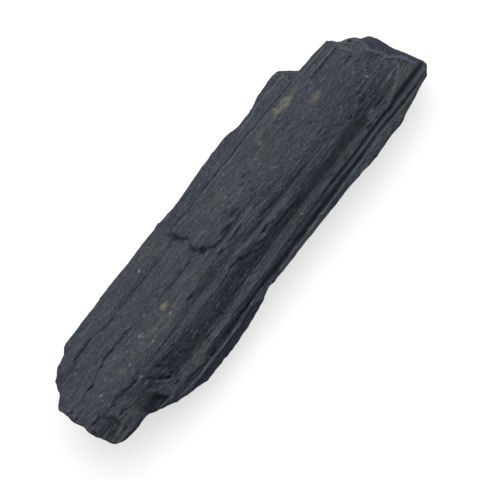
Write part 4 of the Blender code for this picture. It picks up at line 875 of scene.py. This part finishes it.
def fine_relief(x, y, z):
    """Striations and dashes that come and go along the columns, and grains where the surface is rough."""
    y0, z0 = section(np.zeros((1, x.shape[1])))
    own = np.stack(np.broadcast_arrays(x, y0, z0), axis=-1)
    place = np.stack([x, y, z], axis=-1)
    striated = patches(place, *STRIATED) + STREAKED_MORE * streaked(x, y)
    striated = STRIATION_LEAST + (1 - STRIATION_LEAST) * striated
    rough = patches(place, *ROUGH)
    grainy = GRAIN_LEAST + (1 - GRAIN_LEAST) * rough
    out = 0
    for width, length, height, seed in STRIATIONS:
        out = out + height * noise(own / (length, width, width), seed) * striated
    for width, length, height, seed in DASHES:
        dashes = DASH_SHARPNESS * noise(own / (length, width, width), seed) - DASH_THRESHOLD
        out = out - height * smoothstep(dashes) * rough
    for size, height, seed in GRAINS:
        out = out + height * noise(place / (GRAIN_STRETCH * size, size, size), seed) * grainy
    return out * by_region(FINE_SHARES)


def hollow_depth(x, y, outline, shallow, deep):
    """The depth of one hollow, growing towards its -Y side."""
    ys = [point[1] for point in outline]
    share = np.clip((max(ys) - y) / (max(ys) - min(ys)), 0, 1)
    wall = smoothstep((inside(x, y, outline) + HOLLOW_WALL) / (2 * HOLLOW_WALL))
    return (shallow + (deep - shallow) * share) * wall


def breakage_depth(x, y, crest, centre, half_length, half_width, depth):
    reach = ((x - centre[0]) / half_length) ** 2 + ((y - centre[1]) / half_width) ** 2
    inner = smoothstep(BREAKAGE_REACH - reach + BREAKAGE_BLUR * crest)
    return depth * inner * (1 + BREAKAGE_CREST * (BREAKAGE_MEAN - crest))


def plate_rise(x, y, wx, wy, warp):
    """How far the plate raises the crown, with its ragged outline at (wx, wy)."""
    slope = PLATE_SLOPE * smoothstep(1 - abs(y - PLATE_SLOPE_Y) / PLATE_SLOPE_REACH)
    plate = smoothstep((inside(wx, wy, PLATE) + layered(warp, *PLATE_JAGS)) / (PLATE_WALL + slope))
    fade = smoothstep((x - PLATE_FADE[0]) / (PLATE_FADE[1] - PLATE_FADE[0]))
    return PLATE_HEIGHT * plate * (1 - fade)


def broad_relief(x, y, z, wx, warp):
    """How far the plate raises the top, and the crown's slope, the breakages and the hollows lower it."""
    wy = y + layered(warp, *PLATE_WARP_Y)
    raised = plate_rise(x, y, wx, wy, warp)
    raised = raised - SLOPE * np.maximum(x - np.interp(y, *zip(*SLOPE_LINE)), 0)
    crest, _ = chips(np.stack([x / CHIP_STRETCH, y, z], axis=-1) / BREAKAGE_CHIP, BREAKAGE_SEED)
    for breakage in BREAKAGES:
        raised = raised - breakage_depth(wx, wy, crest, *breakage)
    for hollow in HOLLOWS:
        raised = raised - hollow_depth(wx, wy, *hollow)
    return raised


def top_relief(x, y, z):
    """How far everything on the top raises it, and the masks of its cracks and pits, darkened as painted
    shade, and of its crests, paler as wear and painted highlight.
    """
    warp = from_above(x, y, LINE_NOISE_SIZE)
    wx = x + layered(warp, *LINE_WARP_X)
    raised = broad_relief(x, y, z, wx, warp)
    wx, wy = wx * FEATURE_STRETCH, y + layered(warp, *LINE_WARP_Y)
    ragged = layered(warp, *LINE_RAGS)
    dark, wear_and_highlight = np.zeros(x.shape), np.zeros(x.shape)
    # Cracks and pits are painted dark as painted shade; crests are painted paler as wear and painted
    # highlight.
    for points, width, depth in CRACKS:
        profile = line_profile(wx, wy, points, width) * ragged
        dark = np.maximum(dark, profile)
        raised = raised - depth * profile
    for points, width, height in CRESTS:
        profile = line_profile(wx, wy, points, width) * ragged
        wear_and_highlight = np.maximum(wear_and_highlight, profile)
        raised = raised + height * profile
    for centre, half_length, half_width, turn, depth in PITS:
        profile = spot_profile(wx, wy, centre, half_length, half_width, turn) * ragged
        dark = np.maximum(dark, PIT_DARKNESS * profile)
        raised = raised - depth * profile
    up = faces_up()
    return raised * up, dark * up, wear_and_highlight * up


def grain_mask(x, y, grains):
    """How much of one kind of grain or stain there is at (x, y); some pale grains are painted glints."""
    warp = from_above(x, y, GRAIN_NOISE_SIZE)
    wx = x * FEATURE_STRETCH + layered(warp, *GRAIN_WARP_X)
    wy = y + layered(warp, *GRAIN_WARP_Y)
    ragged = layered(warp, *GRAIN_RAGS)
    mask = np.zeros(x.shape)
    for centre, half_length, half_width, turn, strength in grains:
        profile = spot_profile(wx, wy, centre, half_length, half_width, turn)
        mask = np.maximum(mask, strength * ragged * profile)
    return mask * faces_up()


def band_mask(x, y):
    """How much painted light (above 0) or painted shade (below 0) makes the top lighter or darker."""
    place = from_above(x, y, BAND_NOISE_SIZE)
    wy = y + layered(place, *BAND_WARP_Y)
    total = np.zeros(x.shape)
    for strength, softness, points in BANDS:
        xs, tops, bottoms = zip(*points)
        depth = np.minimum(np.interp(x, xs, tops) - wy, wy - np.interp(x, xs, bottoms))
        along = np.minimum(x - xs[0], xs[-1] - x)
        total = total + strength * smoothstep(0.5 + depth / softness) * smoothstep(along / BAND_ENDS)
    return total * layered(place, *BAND_RAGS) * faces_up()


def worn_end(y):
    """Whether y is in the part of the right end's top edge that is painted paler."""
    return (y < END_WORN_Y[1]) * (y > END_WORN_Y[0])


def edge_wear_and_highlight(x, y, z):
    """Wear and painted highlight along the named ridge lines and at the top edge of the right end."""
    wear_and_highlight = smoothstep(END_WORN_X_CORE - (x[-1:] - x) / END_WORN_X) * worn_end(y) * faces_up()
    for name, start, end, strength in WEAR_AND_HIGHLIGHT_EDGES:
        ridge_y, ridge_z = ridge_at(RIDGES[name], x)
        near = smoothstep(WORN_CORE - np.hypot(y - ridge_y, z - ridge_z) / WORN_WIDTH)
        within = smoothstep((np.minimum(x - start, end - x) + WORN_OVERRUN) / WORN_FADE)
        wear_and_highlight = np.maximum(wear_and_highlight, strength * near * within)
    return wear_and_highlight * layered(np.stack([x / WORN_STRETCH, y, z], axis=-1), *WORN_RAGS)


def end_wear_and_highlight(points):
    """Wear and painted highlight on the ends at their own points: the right end, close under its top edge."""
    x, y, z = points.T
    below = np.interp(y, *zip(*RIGHT_TOP)) - z
    wear_and_highlight = smoothstep(END_WORN_Z_CORE - below / END_WORN_Z) * (x > 0) * worn_end(y)
    return END_WEAR_AND_HIGHLIGHT * wear_and_highlight


def painted_side_shade_mask(x):
    """1 where painted shade darkens and blues: the flank, and the side below the ledges towards the left end.
    """
    below_rim = np.repeat([float(name == "rim") for name in RIDGES], FACETS)
    regions = by_region(SIDE_SHADE_SHARES) * (1 - smoothstep((SIDE_SHADE_X - x) / SIDE_SHADE_FADE))
    return regions + RIM_SHADE * below_rim * smoothstep((RIM_SHADE_X - x) / SIDE_SHADE_FADE)


def outward(y, z):
    """Unit directions out of the section, smoothed over the neighbouring facets."""
    reach = range(1, OUTWARD_FACETS + 1)
    dy = sum(np.roll(y, -k, axis=1) - np.roll(y, k, axis=1) for k in reach)
    dz = sum(np.roll(z, -k, axis=1) - np.roll(z, k, axis=1) for k in reach)
    size = np.maximum(np.hypot(dy, dz), NO_LENGTH)
    return -dz / size, dy / size


def waves(x, y, z):
    """How far the skin waves to and fro along Y."""
    place = np.stack([x, WAVE_SQUEEZE * y, WAVE_SQUEEZE * z], axis=-1)
    return layered(place, *WAVES) * by_region(WAVE_SHARES)


def stand_out(x, y):
    """How far the two long sides are moved along Y, away from the crystal's middle."""
    left = np.interp(x, *zip(*LEFT_OUT)) * smoothstep((y - LEFT_OUT_FROM) / OUT_OVER)
    right = np.interp(x, *zip(*RIGHT_OUT)) * smoothstep((-y - RIGHT_OUT_FROM) / OUT_OVER)
    return left - right


def eased(ring):
    """One coordinate of an end's ring, smoothed round the ring so that its outline doesn't cross itself."""
    for _ in range(EASE_PASSES):
        ring = (np.roll(ring, 1) + 2 * ring + np.roll(ring, -1)) / 4
    return ring


def rings_along():
    """x for the skin's points: a row for each ring, evenly from one break to the other."""
    left = np.full((1, sum(FACETS)), -LENGTH / 2)
    right = -left
    for _ in range(BREAK_PASSES):
        left = left_break(*section(left))
        right = right_break(*section(right))
    share = np.linspace(0, 1, round(LENGTH / RING_STEP))
    return left + (right - left) * share[:, None]


def skin():
    """The skin's points as rings along the crystal, and the masks that colour it."""
    x = rings_along()
    y, z = section(x)
    raised, dark, wear_and_highlight = top_relief(x, y, z)
    masks = {"crack_and_pit_shade": dark, "wear_and_highlight": np.maximum(wear_and_highlight, edge_wear_and_highlight(x, y, z)),
             "pale": grain_mask(x, y, PALE_GRAINS_AND_GLINTS), "ochre": grain_mask(x, y, OCHRE_GRAINS),
             "painted_side_shade": painted_side_shade_mask(x), "shade": band_mask(x, y)}
    above_sole = smoothstep((z - SOLE_TOP) / SOLE_FADE)
    out = (column_relief(x) + chip_relief(x, y, z) + fine_relief(x, y, z)) * above_sole
    out_y, out_z = outward(y, z)
    y = y + out * out_y + waves(x, y, z) * above_sole + stand_out(x, y)
    z = np.maximum(z + out * out_z + raised, 0)
    for end in (0, -1):
        y[end], z[end] = eased(y[end]), eased(z[end])
    return np.stack([x, y, z], axis=-1), masks


def skin_faces(rings, columns):
    """The four-sided faces between each ring of points and the next one."""
    faces = []
    for start in range(0, (rings - 1) * columns, columns):
        for j in range(columns):
            k = (j + 1) % columns
            faces.append((start + j, start + k, start + columns + k, start + columns + j))
    return faces


def cap(ring, broken):
    """The points inside an end's ring, and the triangles over it, anticlockwise as seen from +X."""
    outline = [tuple(point) for point in ring[:, 1:]]
    low, high = ring[:, 1:].min(0), ring[:, 1:].max(0)
    y, z = np.meshgrid(np.arange(low[0], high[0], CAP_SPACING), np.arange(low[1], high[1], CAP_SPACING))
    y[::2] += CAP_SPACING / 2
    kept = inside(y, z, outline) > CAP_MARGIN * CAP_SPACING
    columns = len(ring)
    edges = [(i, (i + 1) % columns) for i in range(columns)]
    spots = [Vector(spot) for spot in outline + list(zip(y[kept], z[kept]))]
    spots, _, triangles, sources, _, _ = delaunay_2d_cdt(spots, edges, [], INSIDE_EDGES, CAP_TOLERANCE)
    number = {i: min(source) for i, source in enumerate(sources) if source and min(source) < columns}
    inner = [i for i in range(len(spots)) if i not in number]
    number.update({i: columns + k for k, i in enumerate(inner)})
    y, z = np.array([spots[i] for i in inner]).T
    triangles = [[number[corner] for corner in triangle] for triangle in triangles]
    return np.stack([broken(y, z), y, z], axis=-1), triangles


def fitted(points):
    """The points in the solid's own box, in metres."""
    low, high = points.min(0), points.max(0)
    box_low, box_high = (np.array(corner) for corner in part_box(NODE))
    return box_low + (points - low) * (box_high - box_low) / (high - low)


def add_masks(mesh, masks, on_ends):
    """The masks as numbers on the mesh's points: the skin's, then those on the broken ends."""
    # The right end's break gets painted shade; close under its top edge it gets wear and painted highlight.
    end_masks = {"wear_and_highlight": end_wear_and_highlight(on_ends), "shade": END_SHADE * (on_ends[:, 0] > 0)}
    for name, mask in masks.items():
        values = np.zeros(mask.size + len(on_ends), np.float32)
        values[:mask.size] = np.clip(mask.ravel(), -MASK_LIMIT, MASK_LIMIT)
        values[mask.size:] = end_masks.get(name, 0)
        mesh.attributes.new(name, "FLOAT", "POINT").data.foreach_set("value", values)


def crystal():
    """The closed mesh: the skin, then the two broken ends."""
    rings, masks = skin()
    count, columns = rings.shape[:2]
    last = (count - 1) * columns
    faces = skin_faces(count, columns)
    points = [rings.reshape(-1, 3)]
    for ring, first, broken, turn in ((rings[0], 0, left_break, -1), (rings[-1], last, right_break, 1)):
        added, triangles = cap(ring, broken)
        inner = sum(len(part) for part in points) - columns
        faces += [[c + (first if c < columns else inner) for c in triangle[::turn]] for triangle in triangles]
        points.append(added)
    points = np.concatenate(points)
    mesh = bpy.data.meshes.new("tourmaline")
    mesh.from_pydata(fitted(points).tolist(), [], faces)
    mesh.shade_smooth()
    add_masks(mesh, masks, points[count * columns:])
    piece = bpy.data.objects.new("tourmaline", mesh)
    bpy.context.scene.collection.objects.link(piece)
    return piece


class Nodes:
    """A material's nodes, added and linked with short calls."""

    def __init__(self, name):
        self.material = bpy.data.materials.new(name)
        self.material.use_nodes = True
        self.tree = self.material.node_tree
        self.inputs = self.tree.nodes["Principled BSDF"].inputs
        self.place = self.add("ShaderNodeTexCoord").outputs["Object"]

    def add(self, kind, inputs=None, **settings):
        node = self.tree.nodes.new(kind)
        for key, value in settings.items():
            setattr(node, key, value)
        for key, value in (inputs or {}).items():
            self.set(node.inputs[key], value)
        return node

    def set(self, socket, value):
        if isinstance(value, bpy.types.NodeSocket):
            self.tree.links.new(value, socket)
        else:
            socket.default_value = value

    def noise(self, scale, detail, roughness, stretch):
        """Noise from 0 to 1, stretched along X."""
        mapped = self.add("ShaderNodeMapping", {"Vector": self.place, "Scale": [1 / stretch, 1, 1]})
        return self.add("ShaderNodeTexNoise", {
            "Vector": mapped.outputs["Vector"], "Scale": scale, "Detail": detail, "Roughness": roughness,
        }).outputs["Fac"]

    def ramp(self, value, low, high, to_low, to_high):
        return self.add("ShaderNodeMapRange", {
            "Value": value, "From Min": low, "From Max": high, "To Min": to_low, "To Max": to_high,
        }).outputs["Result"]

    def mix(self, share, first, second):
        node = self.add("ShaderNodeMix", {"Factor": share}, data_type="RGBA")
        self.set(node.inputs[MIX_FIRST], first)
        self.set(node.inputs[MIX_SECOND], second)
        return node.outputs[MIX_RESULT]

    def sum(self, first, second):
        return self.add("ShaderNodeMath", {0: first, 1: second}, operation="ADD").outputs["Value"]

    def attribute(self, name):
        return self.add("ShaderNodeAttribute", attribute_name=name).outputs["Fac"]


def schorl():
    """Black tourmaline: slate blue-black, greener where weathered, dull, and striated along its length.

    Its colour also carries painted shade and painted highlights.
    """
    nodes = Nodes("schorl")
    sources = {name: nodes.noise(*texture) for name, texture in TEXTURES.items()}
    sources.update({name: nodes.attribute(name) for name in MASKS})
    colour = (*DEEP_BLUE, 1)
    for name, low, high, strength, over in COLOURS:
        colour = nodes.mix(nodes.ramp(sources[name], low, high, 0, strength), colour, (*over, 1))
    height = nodes.sum(*(nodes.noise(*texture) for texture in BUMP_TEXTURES))
    bump = nodes.add("ShaderNodeBump", {"Height": height, "Strength": BUMP_STRENGTH, "Distance": BUMP_DEPTH})
    nodes.set(nodes.inputs["Base Color"], colour)
    nodes.set(nodes.inputs["Roughness"], nodes.ramp(sources["grain"], *STONE_ROUGHNESS))
    nodes.set(nodes.inputs["IOR"], STONE_IOR)
    nodes.set(nodes.inputs["Normal"], bump.outputs["Normal"])
    return nodes.material


def floor():
    """A plain pale surface under the crystal, lit a little from within, that the crystal doesn't mirror."""
    nodes = Nodes("pale_floor")
    dark, pale = ((grey, grey, grey, 1) for grey in FLOOR_GREYS)
    nodes.set(nodes.inputs["Base Color"], nodes.mix(nodes.noise(*FLOOR_TEXTURE), dark, pale))
    nodes.set(nodes.inputs["Emission Color"], (1, 1, 1, 1))
    nodes.set(nodes.inputs["Emission Strength"], FLOOR_GLOW)
    nodes.set(nodes.inputs["Roughness"], FLOOR_ROUGHNESS)
    bpy.ops.mesh.primitive_plane_add(size=FLOOR_SIZE, location=(0, 0, 0))
    plane = bpy.context.object
    plane.name = "floor"
    plane.data.materials.append(nodes.material)
    plane.visible_glossy = False


def camera():
    data = bpy.data.cameras.new("camera")
    data.sensor_width = SENSOR
    data.lens = SENSOR * (CAMERA_PLACE[2] - FOCUS_HEIGHT) / VIEW_WIDTH
    data.clip_start, data.clip_end = CAMERA_RANGE
    obj = bpy.data.objects.new("camera", data)
    obj.location = [v * MM for v in CAMERA_PLACE]
    obj.rotation_euler = (0, 0, math.radians(CAMERA_TURN))
    bpy.context.scene.collection.objects.link(obj)
    bpy.context.scene.camera = obj


def soft_light():
    """One broad square light, high on the +Y side and turned to the crystal."""
    data = bpy.data.lights.new("key", "AREA")
    data.shape = "SQUARE"
    data.size = LIGHT_SIZE
    data.energy = LIGHT_POWER
    obj = bpy.data.objects.new("key", data)
    obj.location = LIGHT_PLACE
    obj.rotation_euler = (-Vector(LIGHT_PLACE)).to_track_quat("-Z", "Y").to_euler()
    bpy.context.scene.collection.objects.link(obj)


def room():
    """A white room that is brighter towards +Y."""
    world = bpy.data.worlds.new("room")
    bpy.context.scene.world = world
    world.use_nodes = True
    tree = world.node_tree
    background = tree.nodes["Background"]
    background.inputs["Color"].default_value = ROOM_COLOUR
    direction = tree.nodes.new("ShaderNodeTexCoord")
    towards = tree.nodes.new("ShaderNodeVectorMath")
    towards.operation = "DOT_PRODUCT"
    towards.inputs[1].default_value = ROOM_BRIGHT_SIDE
    strength = tree.nodes.new("ShaderNodeMapRange")
    strength.inputs["From Min"].default_value = -1
    strength.inputs["To Min"].default_value, strength.inputs["To Max"].default_value = ROOM_STRENGTH
    tree.links.new(direction.outputs["Generated"], towards.inputs[0])
    tree.links.new(towards.outputs["Value"], strength.inputs["Value"])
    tree.links.new(strength.outputs["Result"], background.inputs["Strength"])
    bpy.context.scene.view_settings.view_transform = "Standard"


stone = crystal()
stone.data.materials.append(schorl())
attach(stone, "root")
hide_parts(NODE)
floor()
camera()
room()
soft_light()
